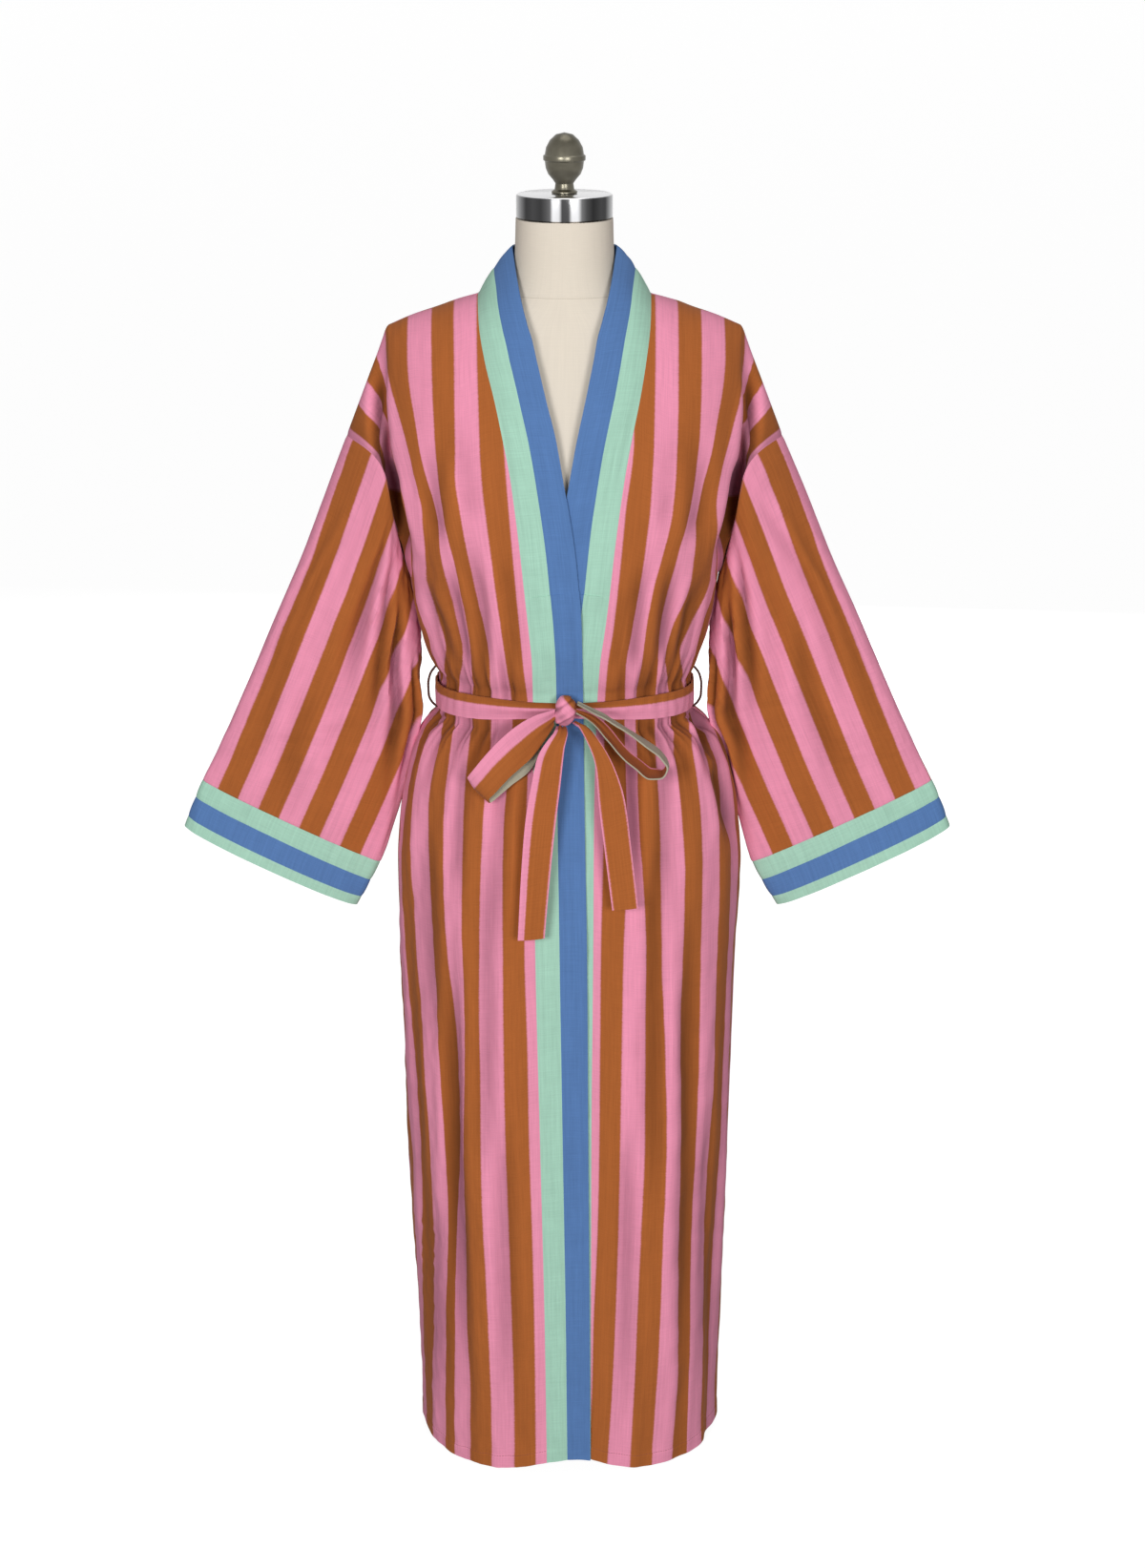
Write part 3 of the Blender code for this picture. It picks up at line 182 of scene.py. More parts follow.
backFolds = (
    (-1, 0.1, 0.06, 0.0036, 0.0, 0.64, 0.808, 0.98),
    (-1, 0.28, 0.065, 0.004, -0.05, 0.66, 0.845, 1.04),
    (-1, 0.46, 0.065, 0.0036, 0.0, 0.6, 0.806, 0.95),
    (-1, 0.64, 0.07, 0.004, -0.08, 0.66, 0.84, 1.03),
    (-1, 0.82, 0.07, 0.0034, 0.0, 0.62, 0.806, 0.9),
    (-1, 0.36, 0.09, 0.005, 0.04, 0.0, 0.26, 0.64),
    (-1, 0.7, 0.09, 0.0046, 0.02, 0.0, 0.32, 0.6),
    (1, 0.08, 0.06, 0.0034, 0.0, 0.66, 0.845, 1.01),
    (1, 0.26, 0.065, 0.0038, 0.03, 0.62, 0.808, 0.96),
    (1, 0.44, 0.065, 0.004, -0.05, 0.66, 0.842, 1.05),
    (1, 0.62, 0.07, 0.0036, 0.0, 0.6, 0.806, 0.94),
    (1, 0.8, 0.07, 0.004, -0.06, 0.65, 0.84, 0.93),
    (1, 0.2, 0.09, 0.005, 0.02, 0.0, 0.24, 0.6),
    (1, 0.56, 0.09, 0.0048, 0.03, 0.0, 0.3, 0.66),
)
# How far the hem rises above its lowest points, by distance from the centre front.
hemTable = table(
    ("x", "rise"),
    (-0.17, 0.005),
    (-0.11, -0.004),
    (-0.07, -0.003),
    (-0.02, 0.007),
    (0.015, 0.011),
    (0.055, 0.001),
    (0.09, -0.0035),
    (0.13, -0.003),
    (0.18, 0.0045),
)
backHem = 0.006
hemFade = 0.10
# One row per cross section of the sleeve, from the armhole (0) to the cuff seam (1) and the
# cuff's edge (2): outer fold, underarm edge on each side, half thickness, and sideways shift.
sleeveTable = table(
    ("at", "outerX", "outerZ", "rightInner", "leftInner", "innerZ", "half", "leftOut"),
    (0.0, 0.2205, 1.092, 0.158, 0.158, 0.95, 0.03, 0.0),
    (0.143, 0.245, 1.029, 0.1514, 0.1512, 0.915, 0.031, 0.003),
    (0.286, 0.2705, 0.965, 0.1488, 0.149, 0.88, 0.034, 0.004),
    (0.43, 0.297, 0.905, 0.1496, 0.1497, 0.845, 0.034, 0.005),
    (0.572, 0.323, 0.846, 0.148, 0.1482, 0.805, 0.031, 0.005),
    (0.715, 0.346, 0.795, 0.1568, 0.1625, 0.765, 0.027, 0.005),
    (0.858, 0.3625, 0.76, 0.1695, 0.175, 0.712, 0.021, 0.005),
    (1.0, 0.379, 0.727, 0.1945, 0.197, 0.637, 0.015, 0.005),
    (2.0, 0.3995, 0.677, 0.2207, 0.224, 0.59, 0.024, 0.005),
)
cuffStrips = (0.0, 0.24, 0.745, 1.0)
# Folds of a sleeve: place round it (0 outer fold, 0.25 middle of the front, 0.5 underarm,
# 0.75 middle of the back), half width, depth, drift per unit along, first, deepest and last.
sleeveFolds = (
    (0.17, 0.05, 0.0035, 0.03, 0.02, 0.25, 0.8),
    (0.27, 0.05, 0.005, 0.02, 0.05, 0.35, 0.95),
    (0.37, 0.05, 0.0045, -0.02, 0.1, 0.45, 0.97),
    (0.68, 0.055, 0.0045, 0.02, 0.04, 0.35, 0.9),
    (0.81, 0.055, 0.004, -0.02, 0.05, 0.3, 0.85),
)
# Sections of the dress form: half width, depth forward and depth back at each height.
formTable = (
    (0.6, 0.108, 0.082, 0.09),
    (0.606, 0.114, 0.087, 0.095),
    (0.64, 0.123, 0.093, 0.102),
    (0.7, 0.127, 0.095, 0.104),
    (0.76, 0.117, 0.089, 0.088),
    (0.825, 0.106, 0.081, 0.07),
    (0.89, 0.116, 0.089, 0.076),
    (0.95, 0.132, 0.101, 0.085),
    (1.01, 0.142, 0.105, 0.089),
    (1.07, 0.146, 0.101, 0.089),
    (1.12, 0.149, 0.09, 0.08),
    (1.155, 0.152, 0.078, 0.069),
    (1.182, 0.15, 0.069, 0.06),
    (1.199, 0.14, 0.062, 0.053),
    (1.2115, 0.116, 0.058, 0.05),
    (1.2215, 0.088, 0.056, 0.049),
    (1.229, 0.07, 0.0545, 0.0485),
    (1.238, 0.0602, 0.053, 0.048),
    (1.251, 0.0533, 0.0512, 0.0477),
    (1.27, 0.0498, 0.0494, 0.0475),
    (1.309, 0.0484, 0.0484, 0.0477),
)
# Half the outline of the form's knob: distance from the axis and height.
knobProfile = (
    (0.0, 1.3336), (0.0128, 1.3336), (0.0128, 1.3352), (0.0098, 1.3372),
    (0.009, 1.343), (0.0118, 1.347), (0.0162, 1.352), (0.0186, 1.358),
    (0.0194, 1.3646), (0.021, 1.3656), (0.021, 1.37), (0.0194, 1.371),
    (0.0182, 1.378), (0.0144, 1.385), (0.0084, 1.3905), (0.0, 1.3925),
)
# The belt: half widths, depths and middle height of the ring, half its height.
beltWidth = 0.1316
beltFront = 0.1057
beltBack = 0.0872
beltSideHeight = 0.8235
beltFrontHeight = 0.8310
beltHalf = 0.0128
beltMiddle = 0.827
beltKnotHalf = 0.0095
# The bow: both edges of each ribbon at each station, x, y and height.
rightLoop = (
    (-0.0104, -0.123, 0.837, -0.011, -0.123, 0.82),
    (-0.0266, -0.13, 0.8337, -0.019, -0.129, 0.808),
    (-0.05, -0.135, 0.8215, -0.0342, -0.1335, 0.7885),
    (-0.073, -0.138, 0.8002, -0.0535, -0.1365, 0.7715),
    (-0.09, -0.1385, 0.78, -0.0692, -0.1375, 0.7545),
    (-0.0965, -0.135, 0.7712, -0.0755, -0.134, 0.7472),
    (-0.095, -0.13, 0.7725, -0.0735, -0.129, 0.7455),
    (-0.0745, -0.1268, 0.7945, -0.052, -0.126, 0.764),
    (-0.052, -0.1245, 0.813, -0.031, -0.124, 0.7815),
    (-0.025, -0.12, 0.829, -0.0185, -0.12, 0.81),
    (-0.0118, -0.1185, 0.835, -0.0118, -0.1185, 0.8215),
)
leftLoop = (
    (0.0126, -0.129, 0.8438, 0.0126, -0.1195, 0.8428),
    (0.0355, -0.149, 0.837, 0.0348, -0.123, 0.8335),
    (0.0548, -0.1525, 0.8255, 0.0553, -0.1255, 0.8222),
    (0.0785, -0.1535, 0.809, 0.08, -0.1265, 0.8065),
    (0.0957, -0.1535, 0.7945, 0.0972, -0.1265, 0.7925),
    (0.1022, -0.1535, 0.7835, 0.1033, -0.1265, 0.7825),
    (0.0968, -0.1525, 0.7745, 0.0976, -0.1265, 0.7748),
    (0.0855, -0.1515, 0.7725, 0.0876, -0.1265, 0.7765),
    (0.07, -0.1495, 0.7828, 0.0727, -0.126, 0.7872),
    (0.056, -0.1475, 0.7958, 0.0592, -0.125, 0.8),
    (0.0415, -0.1425, 0.812, 0.0445, -0.124, 0.8175),
    (0.027, -0.134, 0.827, 0.0285, -0.1215, 0.831),
    (0.0118, -0.128, 0.8345, 0.0118, -0.1195, 0.8365),
)
rightTail = (
    (-0.0085, -0.12, 0.8178, 0.002, -0.12, 0.8172),
    (-0.01, -0.131, 0.816, 0.0032, -0.131, 0.814),
    (-0.0185, -0.1415, 0.8075, 0.0, -0.1415, 0.802),
    (-0.0266, -0.145, 0.794, -0.0016, -0.1445, 0.789),
    (-0.0333, -0.1475, 0.7637, -0.0046, -0.1475, 0.7607),
    (-0.0395, -0.1495, 0.7244, -0.0088, -0.1505, 0.726),
    (-0.0441, -0.152, 0.6649, -0.0144, -0.153, 0.672),
    (-0.0473, -0.154, 0.603, -0.0202, -0.155, 0.6055),
)
leftTail = (
    (0.0082, -0.1205, 0.8225, 0.016, -0.1205, 0.8205),
    (0.0125, -0.131, 0.8225, 0.023, -0.1305, 0.82),
    (0.0232, -0.139, 0.806, 0.037, -0.1385, 0.805),
    (0.0308, -0.144, 0.7837, 0.049, -0.144, 0.784),
    (0.0345, -0.148, 0.7437, 0.06, -0.1485, 0.751),
    (0.0412, -0.151, 0.6895, 0.0672, -0.1515, 0.698),
    (0.0481, -0.154, 0.635, 0.074, -0.1545, 0.638),
)
# The knot: middle, half sizes and lean.
knotCentre = (0.0005, -0.1190, 0.8345)
knotHalf = (0.0108, 0.0110, 0.0155)
knotTilt = 0.16


# Smooth curve through the rows of a table that never overshoots them.
def through(xs, ys, at):
    step = np.diff(xs)
    slope = np.diff(ys) / step
    tangent = np.zeros_like(ys)
    tangent[0] = slope[0]
    tangent[-1] = slope[-1]
    before = slope[:-1]
    after = slope[1:]
    same = before * after > 0
    total = 3.0 * (step[:-1] + step[1:])
    safeBefore = np.where(same, before, 1.0)
    safeAfter = np.where(same, after, 1.0)
    mean = (2 * step[1:] + step[:-1]) / safeBefore + (step[1:] + 2 * step[:-1]) / safeAfter
    mean = total / mean
    tangent[1:-1] = np.where(same, mean, 0.0)
    at = np.clip(at, xs[0], xs[-1])
    i = np.clip(np.searchsorted(xs, at, side="right") - 1, 0, len(step) - 1)
    t = (at - xs[i]) / step[i]
    return (
        ys[i] * (1 + 2 * t) * (1 - t) ** 2
        + tangent[i] * step[i] * t * (1 - t) ** 2
        + ys[i + 1] * t * t * (3 - 2 * t)
        + tangent[i + 1] * step[i] * t * t * (t - 1)
    )


# A column of a table, read at places of its first column.
def lookUp(rows, name, at):
    return through(next(iter(rows.values())), rows[name], at)


def sideName(side):
    return "right" if side < 0 else "left"


def ease(t):
    t = np.clip(t, 0.0, 1.0)
    return t * t * (3 - 2 * t)


# A raised cosine: 1 in the middle, 0 from one half width on.
def hump(t):
    return 0.5 * (1 + np.cos(math.pi * np.clip(t, -1, 1)))


def bell(t):
    return np.exp(-t ** 2)


def signedPower(value, power):
    return np.sign(value) * np.abs(value) ** power


def stack(x, y, z):
    return np.stack(np.broadcast_arrays(x, y, z), axis=-1)


# Point of the body's cross section; angle 0 is the centre and a quarter turn the side.
def ring(side, half, height, angle):
    power = 2.0 / squareness
    width = lookUp(bodyTable, sideName(side), height)
    depth = lookUp(bodyTable, half, height)
    facing = -1.0 if half == "front" else 1.0
    x = side * width * signedPower(np.sin(angle), power)
    y = facing * depth * signedPower(np.cos(angle), power)
    return stack(x, y, height)


def seamX(side, height):
    return lookUp(bandTable, sideName(side) + "Seam", height)


def startAngle(side, half, height):
    if half == "back":
        return 0.0 * height
    share = seamX(side, height) / lookUp(bodyTable, sideName(side), height)
    return np.arcsin(share ** (squareness / 2.0))


def ringAt(side, half, height, s):
    first = startAngle(side, half, height)
    return ring(side, half, height, first + (math.pi / 2 - first) * s)


def spline(a, ta, b, tb, t):
    t = t[..., None]
    return (
        a * (1 + 2 * t) * (1 - t) ** 2
        + ta * t * (1 - t) ** 2
        + b * t * t * (3 - 2 * t)
        + tb * t * t * (t - 1)
    )


# Body above the armpit, from the band or the centre back out to the lip of the armhole.
def chest(side, half, s, turn):
    lip = frontLip if half == "front" else backLip
    rise = np.sin(turn)
    zero = np.zeros_like(s * turn)
    low = ringAt(side, half, zero + armpit, s + zero)
    lowLip = ringAt(side, half, zero + armpit, lip + zero)
    lowIn = ringAt(side, half, zero + armpit, zero)
    reach = rise * (1 + 0.9 * np.abs(np.cos(turn)) ** 3)
    if half == "front":
        fraction = (low[..., 0] - lowIn[..., 0]) / (lowLip[..., 0] - lowIn[..., 0])
        edge = seamX(side, armpit + (neckPointZ - armpit) * rise)
        lipX = np.abs(lowLip[..., 0])
        lipX = lipX + (shoulderTable["x"][-1] - lipX) * reach
        topX = neckPointX + fraction * (shoulderTable["x"][-1] - neckPointX)
        x = side * (edge + fraction * (lipX - edge))
        topY = zero
        topZ = lookUp(shoulderTable, "height", topX)
    else:
        roundNeck = np.clip(s / backNeck, -1.0, 1.0) * math.pi / 2 + zero
        along = np.clip((s - backNeck) / (backLip - backNeck), 0.0, 2.0) + zero
        topX = neckPointX * np.sin(roundNeck) + along * (shoulderTable["x"][-1] - neckPointX)
        topY = neckBackDepth * np.cos(roundNeck) * np.abs(rise) ** 6
        onShoulder = lookUp(shoulderTable, "height", topX)
        onNeck = neckBackHeight + (neckPointZ - neckBackHeight) * np.sin(roundNeck) ** 2
        topZ = np.where(s + zero < backNeck, onNeck, onShoulder)
        x = low[..., 0] + (side * topX - low[..., 0]) * reach
        x = np.where(reach > 1.0, side * topX, x)
    y = topY + low[..., 1] * signedPower(np.cos(turn), 1.0 if half == "front" else 0.75)
    z = armpit + (topZ - armpit) * rise
    return stack(x, y, z)


# How far out the armhole seam has come at each share of its height.
def armholeReach(rise):
    return 0.38 * rise ** 0.7 + 0.62 * rise ** 11


# How far the armhole seam lies from the side, rounded where it turns under the arm.
def armholeDepth(turn, rise):
    bottom = armpitRound * (1 - np.exp(-rise / 0.02)) * (1 - ease(rise / 0.6))
    return armholeIn * np.sin(2 * turn) * (0.45 + 0.55 * ease(rise / 0.5)) + bottom


# The seam between body and sleeve, from the armpit (0) up to the shoulder (quarter turn).
def armhole(side, half, turn):
    facing = -1.0 if half == "front" else 1.0
    rise = np.abs(np.sin(turn))
    x = bodyTable["right"][-1] + (sleeveTop[0] - bodyTable["right"][-1]) * armholeReach(rise)
    y = facing * armholeDepth(turn, rise)
    z = armpit + (sleeveTop[1] - armpit) * rise
    return stack(side * x, y, z)


def hemLow(half, x):
    return lookUp(hemTable, "rise", x) if half == "front" else backHem


# Body surface: s across, r up (0 hem, 1 armpit, 2 shoulder).
def bodyBase(side, half, s, r):
    s, r = np.broadcast_arrays(np.asarray(s, float), np.asarray(r, float))
    lip = frontLip if half == "front" else backLip
    valley = frontValley if half == "front" else backValley
    height = np.clip(r, None, 1.0) * armpit
    turn = np.clip(r - 1.0, 0.0, None) * math.pi / 2
    upper = r > 1.0
    zero = np.zeros_like(s)
    d = 0.01

    def inner(at):
        low = ringAt(side, half, height, at)
        high = chest(side, half, at, turn)
        return np.where(upper[..., None], high, low)

    plain = inner(s)
    lipPoint = inner(zero + lip)
    lipTangent = (inner(zero + lip + d) - inner(zero + lip - d)) / (2 * d) * (valley - lip)
    lowValley = ringAt(side, half, height, zero + valley)
    rise = np.sin(turn)
    lowSide = ringAt(side, half, height, zero + 1.0)
    sidePoint = np.where(upper[..., None], armhole(side, half, turn), lowSide)
    between = lipPoint + (sidePoint - lipPoint) * np.array((0.32, 0.5, 0.5))
    pinch = valleyDepth * bell((turn - valleyAt) / valleySpread)
    fromLow = ease(rise / 0.15)
    highValley = stack(
        lowValley[..., 0] + (between[..., 0] - lowValley[..., 0]) * fromLow,
        lowValley[..., 1] * signedPower(np.cos(turn), 0.8) * (1 - pinch * fromLow),
        height + (between[..., 2] - height) * fromLow + valleyLift * rise ** 4,
    )
    valleyPoint = np.where(upper[..., None], highValley, lowValley)
    sideTangent = (
        ringAt(side, half, height, zero + 1.06) - ringAt(side, half, height, zero + 0.94)
    ) / 0.12 * (1 - valley)
    turned = ease(rise / 0.25)[..., None]
    sideTangent = sideTangent + (sidePoint - valleyPoint - sideTangent) * turned
    deep = (pinch / valleyDepth * fromLow)[..., None]
    plainTangent = (sidePoint - lipPoint) / 2
    floorTangent = plainTangent * np.array((1.0, 0.3, 0.4)) + stack(side * 0.006, 0.0, 0.0)
    valleyTangent = plainTangent + (floorTangent - plainTangent) * deep
    first = spline(lipPoint, lipTangent, valleyPoint, valleyTangent,
                   (s - lip) / (valley - lip))
    second = spline(valleyPoint, valleyTangent, sidePoint, sideTangent,
                    (s - valley) / (1 - valley))
    outer = np.where((s > valley)[..., None], second, first)
    point = np.where((s > lip)[..., None], outer, plain)
    lowHem = hemLow(half, point[..., 0]) * (1 - ease(point[..., 2] / hemFade))
    point = point + stack(0.0, 0.0, lowHem)
    if half == "front" and side > 0:
        inward = 1 - ease((np.abs(point[..., 0]) - 0.036) / 0.045)
        inward = inward * (1 - ease((point[..., 2] - wrapTop) / 0.06)) * wrapDrop
        point = point + stack(0.0, inward, 0.0)
    return point


def normalOf(surface, s, r, sign, eps=0.004):
    across = surface(s + eps, r) - surface(s - eps, r)
    along = surface(s, r + eps) - surface(s, r - eps)
    face = np.cross(across, along) * sign
    return face / np.maximum(np.linalg.norm(face, axis=-1, keepdims=True), 1e-12)


def foldDepth(rows, side, s, height):
    total = np.zeros(np.broadcast(s, height).shape)
    for row in rows:
        if row[0] != side:
            continue
        fold = dict(zip(foldNames, row))
        centre = fold["place"] + fold["drift"] * (height - 0.825)
        shape = hump((s - centre) / fold["width"])
        up = ease((height - fold["low"]) / max(fold["deep"] - fold["low"], 1e-6))
        down = ease((fold["high"] - height) / max(fold["high"] - fold["deep"], 1e-6))
        if fold["low"] <= 0:
            up = 0.55 + 0.45 * up
        total = total + fold["depth"] * shape * up * down
    return total


def bodyPoint(side, half, s, r):
    base = bodyBase(side, half, s, r)
    sign = side if half == "front" else -side
    normal = normalOf(lambda a, b: bodyBase(side, half, a, b), s, r, sign)
    rows = frontFolds if half == "front" else backFolds
    depth = foldDepth(rows, side, s, base[..., 2])
    return base - normal * depth[..., None]


# Sleeve surface: u round it from the outer fold, k down it from the armhole.
def sleeveBase(side, u, k):
    u, k = np.broadcast_arrays(np.asarray(u, float), np.asarray(k, float))

    def value(name):
        return lookUp(sleeveTable, name, k)

    shift = value("leftOut") if side > 0 else 0.0 * k
    outerPoint = stack(side * (value("outerX") + shift), 0.0, value("outerZ"))
    innerPoint = stack(side * value(sideName(side) + "Inner"), 0.0, value("innerZ"))
    turn = 2 * math.pi * u
    t = (1 - np.cos(turn)) / 2
    facing = np.where(np.sin(turn) >= 0, -1.0, 1.0)
    rise = 1 - t
    angle = np.arcsin(np.clip(rise, 0, 1))
    seamXShift = (sleeveTop[0] - bodyTable["right"][-1]) * (armholeReach(rise) - rise)
    seamShift = stack(side * seamXShift, facing * armholeDepth(angle, rise), 0.0)
    lensY = facing * value("half") * np.abs(np.sin(turn)) ** 0.75
    lens = stack(0.0, lensY, 0.0)
    change = ease(k / 0.36)[..., None]
    line = outerPoint + (innerPoint - outerPoint) * t[..., None]
    return line + seamShift * (1 - change) + lens * change


def sleevePoint(side, u, k):
    base = sleeveBase(side, u, k)
    normal = normalOf(lambda a, b: sleeveBase(side, a, b), u, k, side, 0.006)
    depth = np.zeros(np.broadcast(u, k).shape)
    for place, width, deep, drift, first, deepest, last in sleeveFolds:
        centre = place + drift * (k - deepest)
        shape = hump((u - centre) / width)
        up = ease((k - first) / (deepest - first))
        down = ease((last - k) / (last - deepest))
        depth = depth + deep * shape * up * down
    return base - normal * depth[..., None]


# Band surface: c across (0 seam, 1 free edge), r up (2 shoulder, 3 centre back).
def bandSurface(side, c, r):
    c, r = np.broadcast_arrays(np.asarray(c, float), np.asarray(r, float))
    height = np.clip(r, 0.0, 1.0) * armpit
    turn = np.clip(r - 1.0, 0.0, 1.0) * math.pi / 2
    upper = r > 1.0
    seamHeight = np.where(upper, armpit + (neckPointZ - armpit) * np.sin(turn), height)
    freeName = sideName(side) + "Free"
    seam = seamX(side, seamHeight)
    freeLow = lookUp(bandTable, freeName, seamHeight)
    xLow = side * (seam - (seam + freeLow) * c)
    width = lookUp(bodyTable, sideName(side), height)
    depth = lookUp(bodyTable, "front", height)
    yLow = -depth * (1 - np.abs(xLow / width) ** squareness) ** (1 / squareness)
    rise = lookUp(collarRise, "rise", seamHeight)
    zLow = height + c * rise * ease((height - 0.80) / 0.15)
    lowHem = hemLow("front", xLow) * (1 - ease(zLow / hemFade))
    low = stack(xLow, yLow, zLow + lowHem)
    edge = chest(side, "front", np.zeros_like(c), turn)
    freeHeight = seamHeight + rise
    besideNeck = freeHeight > collarEdge["height"][0]
    freeX = np.where(besideNeck, lookUp(collarEdge, "x", freeHeight),
                     -lookUp(bandTable, freeName, freeHeight))
    freeY = -lookUp(collarRise, "freeDepth", seamHeight)
    free = stack(side * freeX, freeY, freeHeight)
    bulge = collarBulge * np.sin(math.pi * c) * np.sin(turn)
    high = edge + (free - edge) * c[..., None] + stack(0.0, -bulge * np.cos(turn), bulge)
    point = np.where(upper[..., None], high, low)
    behind = r > 2.0
    swing = np.clip(r - 2.0, 0.0, None) * math.pi / 2
    seamBack = stack(
        side * neckPointX * np.cos(swing),
        neckBackDepth * np.sin(swing),
        neckBackHeight + (neckPointZ - neckBackHeight) * np.cos(swing) ** 2,
    )
    freeBack = stack(
        side * collarTopX * np.cos(swing),
        collarBackDepth * np.sin(swing),
        collarBackHeight + (collarTopZ - collarBackHeight) * np.cos(swing) ** 2,
    )
    back = seamBack + (freeBack - seamBack) * c[..., None]
    back = back + stack(0.0, 0.0, collarBulge * np.sin(math.pi * c))
    point = np.where(behind[..., None], back, point)
    if side > 0:
        inward = wrapDrop * (1 - ease((point[..., 2] - wrapTop) / 0.06))
        point = point + stack(0.0, np.where(r > 2.0, 0.0, inward), 0.0)
    return point


# Place of the stripe edges on each front: distance from the centre where the pattern reads
# each of the values in stripeEdges, by height.
stripeEdges = (0.0640, 0.0885, 0.1130, 0.1375, 0.1620, 0.1865)
rightStripes = table(
    ("height", "a", "b", "c", "d", "e", "f"),
    (0.0, 0.0311, 0.0544, 0.0786, 0.102, 0.1197, 0.1303),
    (0.08, 0.0314, 0.0547, 0.079, 0.1023, 0.1195, 0.1297),
    (0.17, 0.0322, 0.0564, 0.0815, 0.1056, 0.1187, 0.128),
    (0.27, 0.034, 0.059, 0.085, 0.107, 0.115, 0.124),
    (0.37, 0.0367, 0.0615, 0.0873, 0.106, 0.1125, 0.127),
    (0.48, 0.0382, 0.0627, 0.0882, 0.1029, 0.1146, 0.1323),
    (0.583, 0.0408, 0.0632, 0.0875, 0.104, 0.1215, 0.14),
    (0.663, 0.04, 0.0628, 0.085, 0.1053, 0.1255, 0.1429),
    (0.721, 0.0385, 0.0616, 0.0818, 0.104, 0.1242, 0.1415),
    (0.82, 0.036, 0.0528, 0.0739, 0.095, 0.112, 0.125),
    (0.876, 0.041, 0.0582, 0.0754, 0.0945, 0.1059, 0.124),
    (0.957, 0.0481, 0.068, 0.0906, 0.1048, 0.1189, 0.1397),
    (1.033, 0.0544, 0.0778, 0.1031, 0.1219, 0.1303, 0.142),
    (1.069, 0.0572, 0.0816, 0.1078, 0.1266, 0.1388, 0.15),
    (1.107, 0.06, 0.0834, 0.1078, 0.1284, 0.146, 0.16),
    (1.176, 0.063, 0.0859, 0.1085, 0.1312, 0.1557, 0.1784),
    (1.234, 0.0645, 0.0874, 0.1102, 0.133, 0.1568, 0.181),
)
leftStripes = table(
    ("height", "a", "b", "c", "d", "e", "f"),
    (0.0, 0.0235, 0.045, 0.0693, 0.0936, 0.115, 0.1312),
    (0.08, 0.0284, 0.0496, 0.0729, 0.0972, 0.1185, 0.1327),
    (0.17, 0.0302, 0.0533, 0.0765, 0.1006, 0.1197, 0.1338),
    (0.27, 0.034, 0.056, 0.08, 0.103, 0.121, 0.135),
    (0.37, 0.0357, 0.0575, 0.0833, 0.1052, 0.121, 0.1379),
    (0.48, 0.0363, 0.0588, 0.0843, 0.1029, 0.1205, 0.1401),
    (0.583, 0.0369, 0.0603, 0.0836, 0.0991, 0.1215, 0.1409),
    (0.663, 0.0385, 0.063, 0.079, 0.0985, 0.1226, 0.141),
    (0.721, 0.0395, 0.0635, 0.0751, 0.0972, 0.1194, 0.1386),
    (0.82, 0.04, 0.061, 0.072, 0.0912, 0.1094, 0.1238),
    (0.876, 0.0429, 0.062, 0.0782, 0.0944, 0.104, 0.119),
    (0.915, 0.0485, 0.0685, 0.0815, 0.0985, 0.11, 0.13),
    (0.957, 0.0529, 0.0755, 0.0887, 0.1067, 0.1256, 0.148),
    (0.995, 0.0566, 0.0802, 0.099, 0.1141, 0.13, 0.15),
    (1.033, 0.06, 0.0844, 0.1069, 0.1256, 0.134, 0.149),
    (1.107, 0.0684, 0.0881, 0.1116, 0.1341, 0.149, 0.1659),
    (1.176, 0.067, 0.0897, 0.1123, 0.1359, 0.1595, 0.1803),
    (1.234, 0.068, 0.0905, 0.113, 0.1365, 0.16, 0.182),
)

